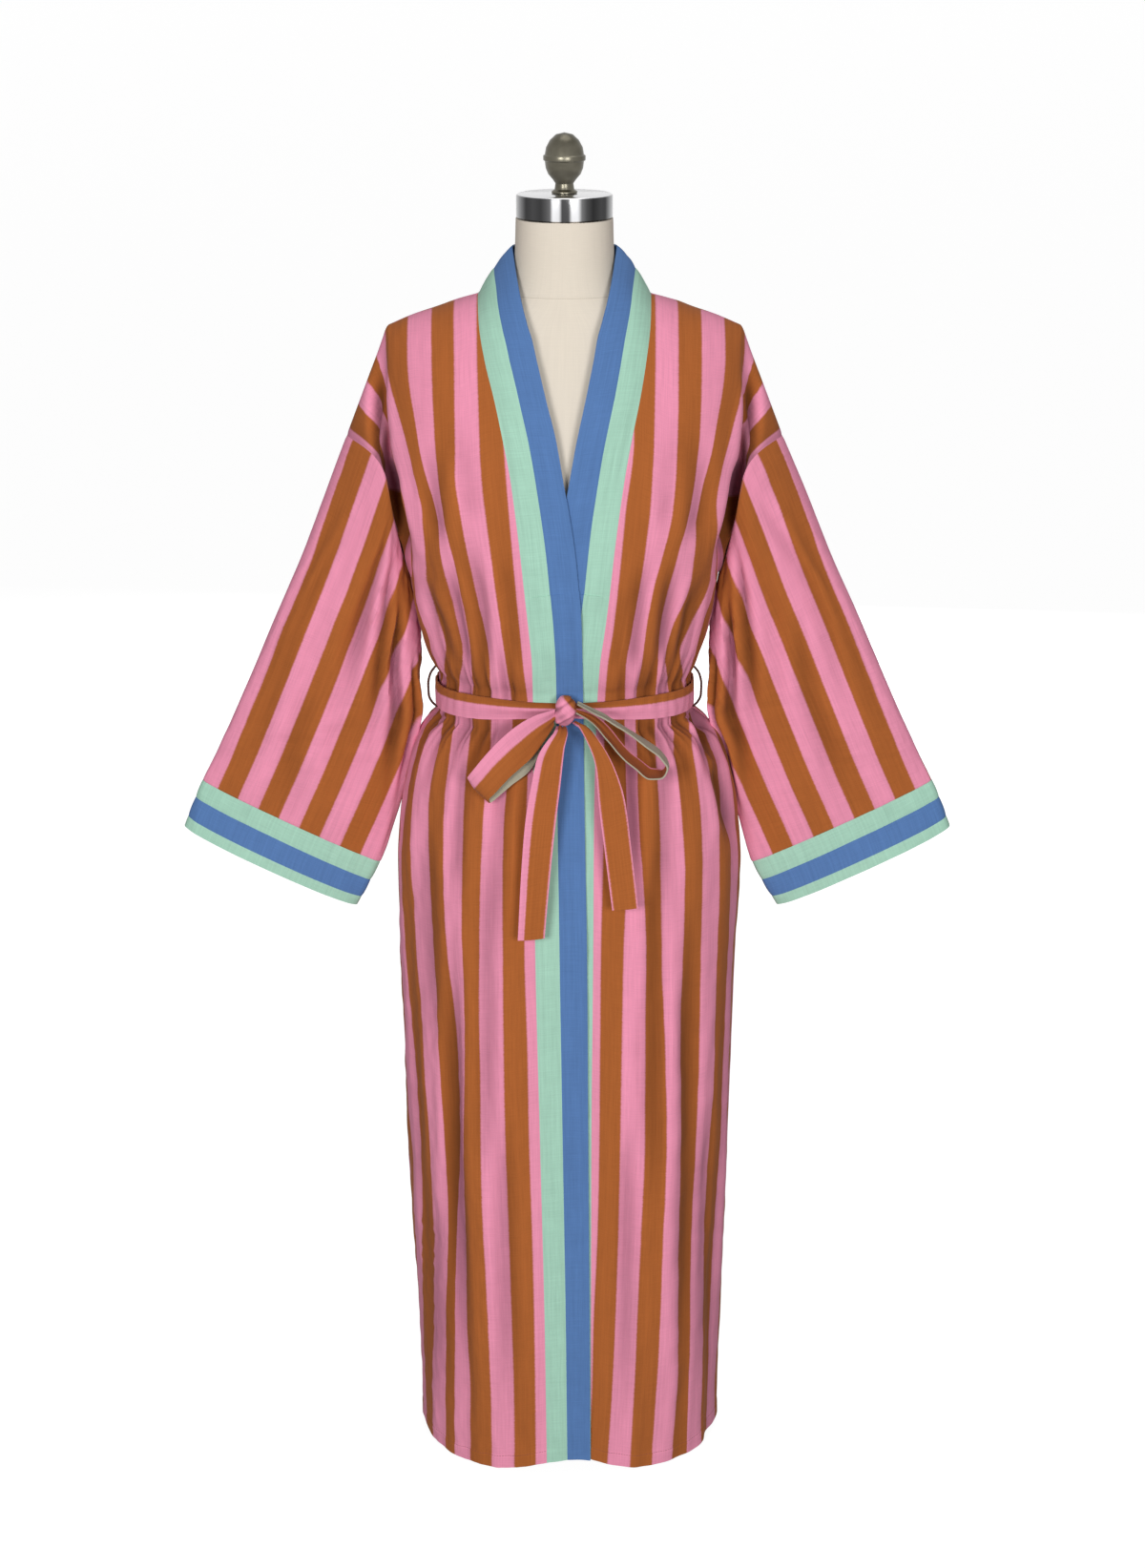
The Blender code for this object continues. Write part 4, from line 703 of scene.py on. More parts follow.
# Creases of the fronts: x and height of both ends, half width, depth and bow.
frontCreases = {
    -1: (
        (-0.112, 0.64, -0.113, 0.02, 0.011, 0.0036, 0.004),
        (-0.082, 0.74, -0.09, 0.28, 0.012, 0.0022, -0.006),
        (-0.06, 0.8, -0.068, 0.56, 0.009, 0.0022, 0.003),
        (-0.101, 0.79, -0.112, 0.6, 0.008, 0.0026, 0.004),
        (-0.14, 0.72, -0.137, 0.42, 0.013, 0.0026, 0.004),
        (-0.062, 0.42, -0.058, 0.01, 0.012, 0.002, 0.003),
        (-0.142, 0.33, -0.14, 0.01, 0.013, 0.0026, -0.003),
        (-0.046, 0.87, -0.064, 1.01, 0.009, 0.0022, 0.004),
        (-0.078, 0.86, -0.098, 1.02, 0.009, 0.003, 0.004),
        (-0.1, 0.86, -0.124, 0.985, 0.008, 0.0034, 0.004),
        (-0.116, 0.865, -0.143, 0.96, 0.007, 0.003, 0.003),
        (-0.124, 0.99, -0.128, 1.11, 0.01, 0.003, -0.003),
        (-0.188, 1.165, -0.169, 0.985, 0.0075, 0.011, 0.003),
        (-0.172, 1.08, -0.158, 0.965, 0.007, 0.007, 0.002),
        (-0.09, 1.02, -0.118, 1.13, 0.012, 0.0014, 0.005),
    ),
    1: (
        (0.1195, 0.836, 0.158, 0.752, 0.0058, 0.0056, -0.004),
        (0.153, 0.768, 0.175, 0.67, 0.0066, 0.005, -0.002),
        (0.07, 0.8, 0.071, 0.64, 0.008, 0.0034, 0.002),
        (0.1, 0.795, 0.108, 0.6, 0.01, 0.0024, 0.003),
        (0.094, 0.74, 0.098, 0.24, 0.011, 0.0026, 0.004),
        (0.13, 0.64, 0.128, 0.04, 0.011, 0.003, 0.003),
        (0.066, 0.42, 0.06, 0.01, 0.011, 0.0022, -0.003),
        (0.15, 0.42, 0.154, 0.03, 0.012, 0.0024, 0.003),
        (0.07, 0.86, 0.083, 1.0, 0.008, 0.0036, -0.003),
        (0.05, 0.865, 0.066, 0.98, 0.008, 0.002, -0.003),
        (0.102, 0.862, 0.112, 0.99, 0.008, 0.0034, -0.003),
        (0.116, 0.862, 0.138, 0.97, 0.007, 0.0034, -0.003),
        (0.128, 0.99, 0.13, 1.12, 0.01, 0.0032, 0.003),
        (0.188, 1.165, 0.169, 0.985, 0.0075, 0.011, -0.003),
        (0.172, 1.08, 0.158, 0.965, 0.007, 0.007, -0.002),
        (0.098, 1.01, 0.122, 1.13, 0.012, 0.0014, -0.005),
    ),
}
# The same for the back, for both sides together.
backCreases = (
    (-0.02, 0.79, -0.032, 0.47, 0.012, 0.003, 0.004),
    (-0.064, 0.795, -0.084, 0.52, 0.011, 0.0034, 0.004),
    (-0.1, 0.79, -0.126, 0.59, 0.01, 0.003, 0.003),
    (0.03, 0.795, 0.044, 0.5, 0.012, 0.0032, -0.004),
    (0.074, 0.79, 0.09, 0.56, 0.011, 0.003, -0.003),
    (0.108, 0.792, 0.134, 0.6, 0.009, 0.0034, -0.003),
    (-0.05, 0.62, -0.058, 0.01, 0.013, 0.0028, 0.004),
    (0.06, 0.66, 0.072, 0.01, 0.013, 0.003, -0.004),
    (0.002, 0.56, 0.004, 0.01, 0.012, 0.0022, 0.003),
    (-0.116, 0.6, -0.122, 0.01, 0.012, 0.0028, 0.003),
    (0.122, 0.58, 0.13, 0.01, 0.012, 0.0028, -0.003),
    (-0.016, 0.865, -0.024, 1.0, 0.01, 0.0028, 0.003),
    (-0.058, 0.862, -0.078, 1.03, 0.01, 0.003, 0.004),
    (-0.098, 0.862, -0.122, 1.0, 0.009, 0.0034, 0.004),
    (0.024, 0.862, 0.03, 1.02, 0.01, 0.003, -0.003),
    (0.064, 0.862, 0.086, 1.01, 0.01, 0.0028, -0.004),
    (0.102, 0.862, 0.124, 1.01, 0.009, 0.0034, -0.004),
    (-0.06, 1.06, 0.01, 1.045, 0.012, 0.0012, 0.008),
    (0.03, 1.09, 0.09, 1.12, 0.012, 0.0012, -0.006),
)
# Creases of each sleeve by place round it and along it, then half width round it, depth, bow.
sleeveCreases = {
    -1: (
        (0.07, 0.06, 0.1, 0.8, 0.02, 0.001, 0.01),
        (0.13, 0.1, 0.16, 0.97, 0.018, 0.0012, -0.01),
        (0.24, 0.02, 0.27, 0.6, 0.016, 0.0026, 0.012),
        (0.3, 0.06, 0.33, 0.72, 0.016, 0.0034, 0.01),
        (0.36, 0.14, 0.41, 0.92, 0.015, 0.0046, -0.01),
        (0.43, 0.34, 0.45, 0.93, 0.014, 0.0034, 0.008),
        (0.2, 0.55, 0.24, 1.0, 0.022, 0.0012, -0.01),
        (0.6, 0.1, 0.62, 0.9, 0.022, 0.003, 0.012),
        (0.72, 0.05, 0.74, 0.8, 0.022, 0.0034, -0.012),
        (0.84, 0.1, 0.86, 0.95, 0.022, 0.0026, 0.01),
        (0.92, 0.05, 0.93, 0.7, 0.018, 0.002, 0.008),
    ),
    1: (
        (0.08, 0.08, 0.11, 0.86, 0.02, 0.0011, 0.01),
        (0.15, 0.04, 0.17, 0.7, 0.018, 0.0012, -0.01),
        (0.21, 0.3, 0.23, 1.0, 0.02, 0.0016, 0.012),
        (0.29, 0.04, 0.34, 0.66, 0.016, 0.0036, 0.01),
        (0.37, 0.12, 0.42, 0.93, 0.015, 0.0046, -0.01),
        (0.44, 0.3, 0.46, 0.95, 0.013, 0.0036, 0.006),
        (0.61, 0.08, 0.63, 0.88, 0.022, 0.003, 0.012),
        (0.7, 0.06, 0.73, 0.92, 0.022, 0.0032, -0.01),
        (0.82, 0.1, 0.84, 0.9, 0.022, 0.0028, 0.01),
        (0.91, 0.06, 0.92, 0.76, 0.018, 0.002, 0.008),
    ),
}


# A trough with soft raised sides along a line; positive where the cloth goes in.
def trough(rows, a, b):
    total = np.zeros(np.broadcast(a, b).shape)
    for a0, b0, a1, b1, width, depth, bow in rows:
        length = math.hypot(a1 - a0, b1 - b0)
        wayA = (a1 - a0) / length
        wayB = (b1 - b0) / length
        t = ((a - a0) * wayA + (b - b0) * wayB) / length
        off = (a - a0) * wayB - (b - b0) * wayA
        inside = np.clip(t, 0, 1)
        q = (off - bow * np.sin(math.pi * inside)) / (width * (0.75 + 0.5 * inside))
        shape = bell(q) - 0.34 * bell((q - 1.7) / 0.9) - 0.24 * bell((q + 1.8) / 0.9)
        ends = ease(t / 0.26) * ease((1 - t) / 0.42)
        total = total + depth * shape * ends
    return total


# Uneven soft waves of about one size.
def waves(a, b, size, seed):
    random = np.random.default_rng(seed)
    total = np.zeros(np.broadcast(a, b).shape)
    for i in range(9):
        turn = random.uniform(0, 2 * math.pi)
        step = 2 * math.pi / (size * random.uniform(0.6, 1.7))
        start = random.uniform(0, 2 * math.pi)
        bend = 0.9 * np.sin(b * step * 0.41 + start * 1.7) + 0.6 * np.sin(a * step * 0.53 + start)
        total = total + np.sin((a * math.cos(turn) + b * math.sin(turn)) * step + start + bend)
    return total / 3.0


# Short gathers that run out from under the belt, up and down.
def gathers(side, half, s, z):
    random = np.random.default_rng(11 + (side > 0) + 2 * (half == "back"))
    total = np.zeros(np.broadcast(s, z).shape)
    count = 15
    for above in (False, True):
        for i in range(count):
            place = 0.07 + 0.90 * (i + random.uniform(0.15, 0.85)) / count
            reach = random.uniform(0.020, 0.070) * (1.0 if above else 0.85)
            depth = random.uniform(0.0012, 0.0040)
            width = random.uniform(0.012, 0.021)
            lean = random.uniform(-0.5, 0.5) * (0.6 if above else 0.4)
            away = z - 0.846 if above else 0.808 - z
            past = np.clip(away, 0, None)
            off = (s - place - lean * past) / (width * (1 + 6 * past))
            fade = np.where(away > 0, np.exp(-(past / reach) ** 1.5), ease(1 + away / 0.019) * 0.8)
            total = total + depth * bell(off) * fade
    return total


# Even places from first up to last, without last itself.
def spaced(first, last, step):
    count = max(1, int(math.ceil((last - first) / step)))
    return list(np.linspace(first, last, count + 1)[:-1])


armholeSteps = 58
clothThick = 0.0009
stripeWide = 0.0245
stripeStart = 0.0885
foldShadeWeight = 0.40
bodySettings = {"waves": (0.0014, 0.0010, 0.00036), "sideDip": 0.0007, "bandDip": 0.0006,
                "hemStep": 0.0006, "hemWidth": 0.0125, "armholePaintedShade": 0.0042, "beltPaintedShade": 0.0018,
                "frontFlat": 0.262, "backFlat": 0.252, "frontRise": 0.030, "backRise": 0.047}


def bodyRows():
    heights = [0.0, 0.0015, 0.003, 0.0055, 0.0085, 0.0105, 0.012, 0.0132, 0.0144, 0.0156, 0.017]
    heights += spaced(0.0205, 0.700, 0.0052) + spaced(0.700, 0.790, 0.0040)
    heights += spaced(0.790, 0.866, 0.0030) + spaced(0.866, armpit, 0.0040)
    low = [h / armpit for h in heights]
    turns = [math.asin(1 - (1 - math.cos(math.pi * j / armholeSteps)) / 2)
             for j in range(armholeSteps, -1, -1)]
    return np.array(low + [1.0 + t / (math.pi / 2) for t in turns])


rows = bodyRows()
frontColumns = np.array(spaced(0, 0.02, 0.005) + spaced(0.02, 0.70, 0.0125)
                        + spaced(0.70, 0.98, 0.0105) + spaced(0.98, 1.0, 0.005) + [1.0])
backColumns = np.array(spaced(0, 0.70, 0.0130) + spaced(0.70, 0.98, 0.0110)
                       + spaced(0.98, 1.0, 0.005) + [1.0])


# Length along the cloth from its first row or column.
def arcAlong(grid, axis):
    step = np.linalg.norm(np.diff(grid, axis=axis), axis=-1)
    pad = [(0, 0), (0, 0)]
    pad[axis] = (1, 0)
    return np.cumsum(np.pad(step, pad), axis=axis)


# Pattern of the front across the cloth, from the centre front, so that stripes lie as seen.
def frontPattern(side, base, arc):
    edges = rightStripes if side < 0 else leftStripes
    full = bodySettings["frontFlat"]
    x = np.abs(base[..., 0])
    z = base[..., 2]
    places = [lookUp(edges, name, z) for name in "abcdef"]
    flat = stripeEdges[0] + (x - places[0]) / (places[1] - places[0]) * stripeWide
    for i in range(5):
        t = (x - places[i]) / (places[i + 1] - places[i])
        flat = np.where(t > 0, stripeEdges[i] + t * stripeWide, flat)
    for i in range(len(flat)):
        past = np.nonzero(x[i] >= places[5][i])[0]
        if len(past) == 0:
            continue
        j = past[0]
        left = arc[i, -1] - arc[i, j]
        above = ease((rows[i] - 1) / 0.3) if rows[i] > 1 else 0.0
        want = full + bodySettings["frontRise"] * above - flat[i, j]
        rate = np.clip(want / max(left, 1e-4), 0.95, 2.1)
        flat[i, j:] = flat[i, j] + (arc[i, j:] - arc[i, j]) * rate
    return flat


# Painted shade: how much darker a place is painted for how deep it lies in its folds, as a factor
# on its colour.
def paintedCreaseShade(depth):
    return 1 - np.clip(depth * 88.0, -0.05, 0.54)


# One where the belt presses on the cloth, zero away from it.
def nearBelt(z):
    return 1 - ease((np.abs(z - beltMiddle) - 0.021) / 0.012)


# The detail of one body panel: how far its surface goes in beyond the CAD form's folds, and how
# much painted shade its creases get, with painted shade added in the armhole valley and along the
# belt.
# distance is how far the three edges lie.
def bodyDetail(side, half, s, base, distance):
    settings = bodySettings
    x = base[..., 0]
    z = base[..., 2]
    creases = frontCreases[side] if half == "front" else backCreases
    depth = trough(creases, x, z) * (1.5 - 0.5 * ease((z - 1.02) / 0.05))
    depth = depth + gathers(side, half, s, z)
    # Painted shade follows the depth of the creases and gathers.
    dark = depth
    seed = 30 + side * 3 + (half == "back") * 11
    across = x + side * 0.4 * base[..., 1]
    calm = 1 - 0.65 * ease((z - 1.02) / 0.10)
    slow, middle, fine = settings["waves"]
    depth = depth + calm * middle * waves(across, z * 0.20, 0.040, seed)
    depth = depth + calm * fine * waves(across, z * 0.40, 0.016, seed + 1)
    depth = depth + slow * waves(across, z * 0.12, 0.110, seed + 2) * (1 - ease((z - 1.0) / 0.1))
    onForm = ease((z - 1.10) / 0.06) * (1 - ease((np.abs(x) - 0.150) / 0.012))
    depth = np.where(depth < 0, depth, depth * (1 - 0.8 * onForm))
    depth = np.maximum(depth, -0.0100 + 0.0097 * nearBelt(z))
    edge = ease(distance[0] / 0.022) if half == "front" else 1.0
    top = ease(distance[2] / 0.012)
    depth = depth * edge * ease(distance[1] / 0.014) * top
    dip = settings["sideDip"] * bell(distance[1] / 0.0022)
    if half == "front":
        dip = dip + settings["bandDip"] * bell(distance[0] / 0.0022)
    hem = settings["hemStep"] * (1 - ease((z - hemLow(half, x) - settings["hemWidth"]) / 0.0022))
    dark = dark * (1 - 0.8 * onForm) * edge * top
    # Painted shade in the valley where the sleeve meets the body, and along both edges of the belt.
    armholeShadeMask = ease((s - 0.84) / 0.10) * ease((z - 0.87) / 0.05) * (1 - ease((z - 1.07) / 0.07))
    dark = dark + settings["armholePaintedShade"] * armholeShadeMask
    dark = dark + settings["beltPaintedShade"] * bell((np.abs(z - beltMiddle) - 0.019) / 0.015)
    return depth + dip - hem, dark


# A front or one half of the back: points, normals, pattern, length up it and the painted shade of
# its folds.
def bodyPanel(side, half):
    columns = frontColumns if half == "front" else backColumns
    s, r = np.meshgrid(columns, rows)
    sign = side if half == "front" else -side
    outer = bodyPoint(side, half, s, r)
    normal = normalOf(lambda a, b: bodyPoint(side, half, a, b), s, r, sign)
    if half == "back":
        same = np.interp(columns, (backLip, backValley, 1.0), (frontLip, frontValley, 1.0))
        shift = bodyPoint(side, "front", same, 2.0) - bodyPoint(side, "back", columns, 2.0)
        shift = shift * (columns > backLip)[:, None]
        outer = outer + shift[None] * bell((2.0 - rows) / 0.10)[:, None, None]
    arc = arcAlong(outer, 1)
    up = arcAlong(outer, 0)
    distance = (arc, arc[:, -1:] - arc, up[-1:] - up)
    base = bodyBase(side, half, s, r)
    if half == "front":
        flat = frontPattern(side, outer, arc)
    else:
        flat = bodySettings["backFlat"] * arc / arc[:, -1:]
        rise = (bodySettings["backRise"] * ease((rows - 1) / 0.3))[:, None]
        flat = flat + rise * ease((columns - 0.7) / 0.3)[None, :]
    detail, dark = bodyDetail(side, half, s, base, distance)
    # The CAD form's folds count toward the painted shade as well.
    folds = foldDepth(frontFolds if half == "front" else backFolds, side, s, base[..., 2])
    outer = outer - normal * detail[..., None]
    return outer, normal, flat, up, paintedCreaseShade(dark + foldShadeWeight * folds)


# A closed wall of cloth from a grid of points with its normals. flat holds the pattern's
# coordinates, with one more column than the points have where the wall closes on itself.
def clothWall(name, outer, normal, flat, thick, looks, closed=False, shade=None):
    count, wide = outer.shape[:2]
    inner = outer - normal * thick
    up = np.array((0.0, 0.0, lift))
    verts = np.concatenate(((outer + up).reshape(-1, 3), (inner + up).reshape(-1, 3)))
    half = count * wide
    last = wide if closed else wide - 1
    uvWide = flat[0].shape[1]
    faces = []
    marks = []
    uvFaces = []

    def add(i, j, inside):
        corner = [(i, j), (i, j + 1), (i + 1, j + 1), (i + 1, j)]
        if inside:
            corner = corner[::-1]
        faces.append(np.stack([(p * wide + q % wide).ravel() + half * inside for p, q in corner],
                              axis=1))
        uvFaces.append(np.stack([(p * uvWide + q).ravel() for p, q in corner], axis=1))
        marks.append(np.full(i.size, int(inside)))

    i, j = np.meshgrid(np.arange(count - 1), np.arange(last), indexing="ij")
    add(i, j, False)
    add(i, j, True)

    def rim(first, second, uvFirst, uvSecond, turn):
        quad = np.stack((second, first, first + half, second + half), axis=1)
        uvQuad = np.stack((uvSecond, uvFirst, uvFirst, uvSecond), axis=1)
        faces.append(quad[:, ::-1] if turn else quad)
        uvFaces.append(uvQuad[:, ::-1] if turn else uvQuad)
        marks.append(np.zeros(len(quad), int))

    j = np.arange(last)
    for row in (0, count - 1):
        rim(row * wide + j, row * wide + (j + 1) % wide, row * uvWide + j, row * uvWide + j + 1,
            row > 0)
    if not closed:
        i = np.arange(count - 1)
        for column in (0, wide - 1):
            rim(i * wide + column, (i + 1) * wide + column, i * uvWide + column,
                (i + 1) * uvWide + column, column == 0)
    faces = np.concatenate(faces)
    mesh = bpy.data.meshes.new(name)
    mesh.from_pydata(verts.tolist(), [], faces.tolist())
    uvs = np.stack((flat[0].ravel(), flat[1].ravel()), axis=1)
    layer = mesh.uv_layers.new(name="Flat")
    layer.data.foreach_set("uv", uvs[np.concatenate(uvFaces).ravel()].astype(np.float32).ravel())
    # Per-point factor of painted shade in the folds, stored for the cloth's colour.
    tone = np.ones(outer.shape[:2]) if shade is None else shade
    tone = np.concatenate((tone.ravel(), tone.ravel()))
    fold = mesh.attributes.new("PaintedShade", "FLOAT", "POINT")
    fold.data.foreach_set("value", tone.astype(np.float32))
    for look in looks:
        mesh.materials.append(look)
    if len(looks) > 1:
        mesh.polygons.foreach_set("material_index", np.concatenate(marks).astype(np.int32))
    mesh.update()
    build = bmesh.new()
    build.from_mesh(mesh)
    if build.calc_volume(signed=True) < 0:
        bmesh.ops.reverse_faces(build, faces=build.faces)
    build.to_mesh(mesh)
    build.free()
    item = addItem(name, mesh)
    smooth(item, 55)
    return item


def addItem(name, data):
    item = bpy.data.objects.new(name, data)
    bpy.context.scene.collection.objects.link(item)
    return item


def choose(item):
    bpy.ops.object.select_all(action="DESELECT")
    item.select_set(True)
    bpy.context.view_layer.objects.active = item


def smooth(item, angle):
    choose(item)
    bpy.ops.object.shade_smooth_by_angle(angle=math.radians(angle))


def register(item, node, slotName):
    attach(item, "root")
    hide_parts(node)


# Faces of a tube of rings, with a cap on both ends.
def tubeFaces(rings, wide):
    faces = []
    for i in range(rings - 1):
        for j in range(wide):
            a = i * wide + j
            b = i * wide + (j + 1) % wide
            faces.append((a, b, b + wide, a + wide))
    return faces + [tuple(reversed(range(wide))), tuple(range((rings - 1) * wide, rings * wide))]


# Materials: cloth on its flat pattern, metal on the object's own coordinates.
def newLook(name, color, rough, metal=0.0, sheen=0.0):
    look = bpy.data.materials.new(name)
    look.use_nodes = True
    shader = look.node_tree.nodes["Principled BSDF"]
    shader.inputs["Base Color"].default_value = (*color, 1.0)
    shader.inputs["Roughness"].default_value = rough
    shader.inputs["Metallic"].default_value = metal
    shader.inputs["Sheen Weight"].default_value = sheen
    shader.inputs["Sheen Roughness"].default_value = 0.5
    shader.inputs["Specular IOR Level"].default_value = 0.5 if metal else 0.12
    return look, shader


def link(tree, a, b):
    tree.links.new(a, b)


def calc(tree, kind, a, b=None, c=None):
    node = tree.nodes.new("ShaderNodeMath")
    node.operation = kind
    for i, value in enumerate((a, b, c)):
        if value is None:
            continue
        if isinstance(value, (int, float)):
            node.inputs[i].default_value = value
        else:
            link(tree, value, node.inputs[i])
    return node.outputs[0]


def blend(tree, factor, a, b):
    node = tree.nodes.new("ShaderNodeMix")
    node.data_type = "RGBA"
    for socket, value in ((node.inputs[0], factor), (node.inputs[6], a), (node.inputs[7], b)):
        if isinstance(value, (int, float)):
            socket.default_value = value
        elif isinstance(value, tuple):
            socket.default_value = (*value, 1.0)
        else:
            link(tree, value, socket)
    return node.outputs[2]


def noise(tree, vector, scale, detail=2.0):
    mapping = tree.nodes.new("ShaderNodeMapping")
    mapping.inputs["Scale"].default_value = scale
    link(tree, vector, mapping.inputs["Vector"])
    texture = tree.nodes.new("ShaderNodeTexNoise")
    texture.inputs["Scale"].default_value = 1.0
    texture.inputs["Detail"].default_value = detail
    link(tree, mapping.outputs[0], texture.inputs["Vector"])
    return texture.outputs[0]


# Slubs, long streaks and small mottling of a plain weave, shared by every cloth.
def makeWeave():
    group = bpy.data.node_groups.new("weave", "ShaderNodeTree")
    group.interface.new_socket("Flat", in_out="INPUT", socket_type="NodeSocketVector")
    group.interface.new_socket("Tone", in_out="OUTPUT", socket_type="NodeSocketFloat")
    group.interface.new_socket("Height", in_out="OUTPUT", socket_type="NodeSocketFloat")
    start = group.nodes.new("NodeGroupInput")
    end = group.nodes.new("NodeGroupOutput")
    warp = noise(group, start.outputs[0], (900.0, 30.0, 1.0))
    weft = noise(group, start.outputs[0], (40.0, 1100.0, 1.0))
    cloud = noise(group, start.outputs[0], (26.0, 14.0, 1.0), 4.0)
    threads = calc(group, "ADD", warp, weft)
    streak = noise(group, start.outputs[0], (330.0, 7.0, 1.0), 3.0)
    tone = calc(group, "MULTIPLY_ADD", threads, 0.24, 0.76)
    tone = calc(group, "ADD", tone, calc(group, "MULTIPLY_ADD", streak, 0.26, -0.13))
    tone = calc(group, "ADD", tone, calc(group, "MULTIPLY_ADD", cloud, 0.12, -0.06))
    link(group, tone, end.inputs["Tone"])
    link(group, threads, end.inputs["Height"])
    return group


weave = makeWeave()


def toned(tree, shader, color, tone, height, strength):
    node = tree.nodes.new("ShaderNodeVectorMath")
    node.operation = "SCALE"
    link(tree, color, node.inputs[0])
    link(tree, tone, node.inputs["Scale"])
    link(tree, node.outputs[0], shader.inputs["Base Color"])
    bump = tree.nodes.new("ShaderNodeBump")
    bump.inputs["Strength"].default_value = strength
    bump.inputs["Distance"].default_value = 0.0005
    link(tree, height, bump.inputs["Height"])
    link(tree, bump.outputs[0], shader.inputs["Normal"])


def clothLook(name, color, settings, stripe=None):
    look, shader = newLook(name, color, settings["rough"], 0.0, settings["sheen"])
    tree = look.node_tree
    flat = tree.nodes.new("ShaderNodeUVMap")
    flat.uv_map = "Flat"
    split = tree.nodes.new("ShaderNodeSeparateXYZ")
    link(tree, flat.outputs[0], split.inputs[0])
    u = split.outputs[0]
    v = split.outputs[1]
    made = tree.nodes.new("ShaderNodeGroup")
    made.node_tree = weave
    link(tree, flat.outputs[0], made.inputs[0])
    paint = tree.nodes.new("ShaderNodeRGB")
    paint.outputs[0].default_value = (*color, 1.0)
    paint = paint.outputs[0]
    if stripe:
        ragged = noise(tree, flat.outputs[0], (120.0, 900.0, 1.0), 1.0)
        across = calc(tree, "ADD", u, calc(tree, "MULTIPLY_ADD", ragged, 0.0012, -0.0006))
        across = calc(tree, "MULTIPLY", calc(tree, "SUBTRACT", across, stripeStart), 1 / stripeWide)
        turn = calc(tree, "FLOORED_MODULO", calc(tree, "ADD", across, 0.5), 2.0)
        turn = calc(tree, "ABSOLUTE", calc(tree, "SUBTRACT", turn, 1.0))
        sharp = calc(tree, "MULTIPLY_ADD", calc(tree, "SUBTRACT", turn, 0.5), 14.0, 0.5)
        node = tree.nodes.new("ShaderNodeClamp")
        link(tree, sharp, node.inputs[0])
        paint = blend(tree, node.outputs[0], color, stripe)
    for at in settings["stitches"]:
        away = calc(tree, "ABSOLUTE", calc(tree, "SUBTRACT", v, at))
        line = calc(tree, "LESS_THAN", away, settings["stitchHalf"])
        dash = calc(tree, "FRACT", calc(tree, "MULTIPLY", u, settings["stitchRate"]))
        dash = calc(tree, "LESS_THAN", dash, 0.72)
        mark = calc(tree, "MULTIPLY", calc(tree, "MULTIPLY", line, dash), 0.55)
        paint = blend(tree, mark, paint, settings["thread"])
    tone = made.outputs["Tone"]
    if settings["plain"]:
        tone = calc(tree, "MULTIPLY_ADD", tone, 1 - settings["plain"], settings["plain"])
    # Painted shade: the colour is darkened by the fold shade factor stored on the piece.
    if settings["folds"]:
        fold = tree.nodes.new("ShaderNodeAttribute")
        fold.attribute_name = "PaintedShade"
        tone = calc(tree, "MULTIPLY", tone, fold.outputs["Fac"])
    toned(tree, shader, paint, tone, made.outputs["Height"], settings["bump"])
    return look


# With folds on, the cloth's colour takes the painted fold shade stored on each piece.
clothSettings = {"rough": 0.88, "sheen": 0.05, "bump": 0.25, "folds": True, "plain": 0.0,
                 "stitches": (0.0138,), "stitchHalf": 0.00034, "stitchRate": 360.0,
                 "thread": (0.20, 0.06, 0.05)}
bareSettings = dict(clothSettings, stitches=())
formSettings = dict(clothSettings, stitches=(1.2362,), thread=(0.44, 0.37, 0.29), bump=0.06,
                    folds=False, plain=0.70)
stripeLook = clothLook("stripeCloth", (0.84, 0.298, 0.438), clothSettings, (0.405, 0.118, 0.028))
mintLook = clothLook("mintCloth", (0.385, 0.640, 0.505), bareSettings)
blueLook = clothLook("blueCloth", (0.096, 0.200, 0.440), bareSettings)
sageLook = clothLook("reverseCloth", (0.40, 0.37, 0.28), bareSettings)
formLook = clothLook("formCloth", (0.78, 0.700, 0.590), formSettings)
threadLook, threadShader = newLook("thread", (0.10, 0.04, 0.03), 0.8)
chromeLook, chromeShader = newLook("brightMetal", (0.80, 0.80, 0.81), 0.16, 1.0)
# Painted reflections: bright and dark streaks of reflected light round the polished cap, painted
# into its colour: place round it (0.5 is the front), tone.
capPaintedReflections = ((0.0, 0.06), (0.08, 0.6), (0.14, 0.08), (0.26, 0.4), (0.3, 0.3), (0.33, 0.16),
              (0.355, 0.04), (0.39, 0.07), (0.42, 0.05), (0.44, 0.1), (0.453, 0.16), (0.462, 0.95),
              (0.482, 0.85), (0.492, 0.08), (0.515, 0.09), (0.525, 0.9), (0.545, 0.95),
              (0.558, 0.2), (0.576, 0.08), (0.6, 0.03), (0.635, 0.06), (0.66, 0.04), (0.695, 0.3),
              (0.74, 0.45), (0.84, 0.07), (0.91, 0.7), (1.0, 0.06))


# Paints the reflection streaks listed above round the side of the cap into its colour, and an even
# tone on its top.
def paintReflectionStreaks(look, shader, top):
    tree = look.node_tree
    spot = tree.nodes.new("ShaderNodeTexCoord")
    split = tree.nodes.new("ShaderNodeSeparateXYZ")
    link(tree, spot.outputs["Object"], split.inputs[0])
    turn = calc(tree, "ARCTAN2", split.outputs[0], calc(tree, "MULTIPLY", split.outputs[1], -1.0))
    turn = calc(tree, "MULTIPLY_ADD", turn, 0.5 / math.pi, 0.5)
    ramp = tree.nodes.new("ShaderNodeValToRGB")
    marks = ramp.color_ramp.elements
    while len(marks) < len(capPaintedReflections):
        marks.new(0.5)
    for mark, (at, tone) in zip(marks, capPaintedReflections):
        mark.position = at
        mark.color = (tone, tone, tone * 1.02, 1.0)
    link(tree, turn, ramp.inputs[0])
    above = calc(tree, "GREATER_THAN", split.outputs[2], top)
    paint = blend(tree, above, ramp.outputs[0], (0.72, 0.72, 0.73))
    link(tree, paint, shader.inputs["Base Color"])


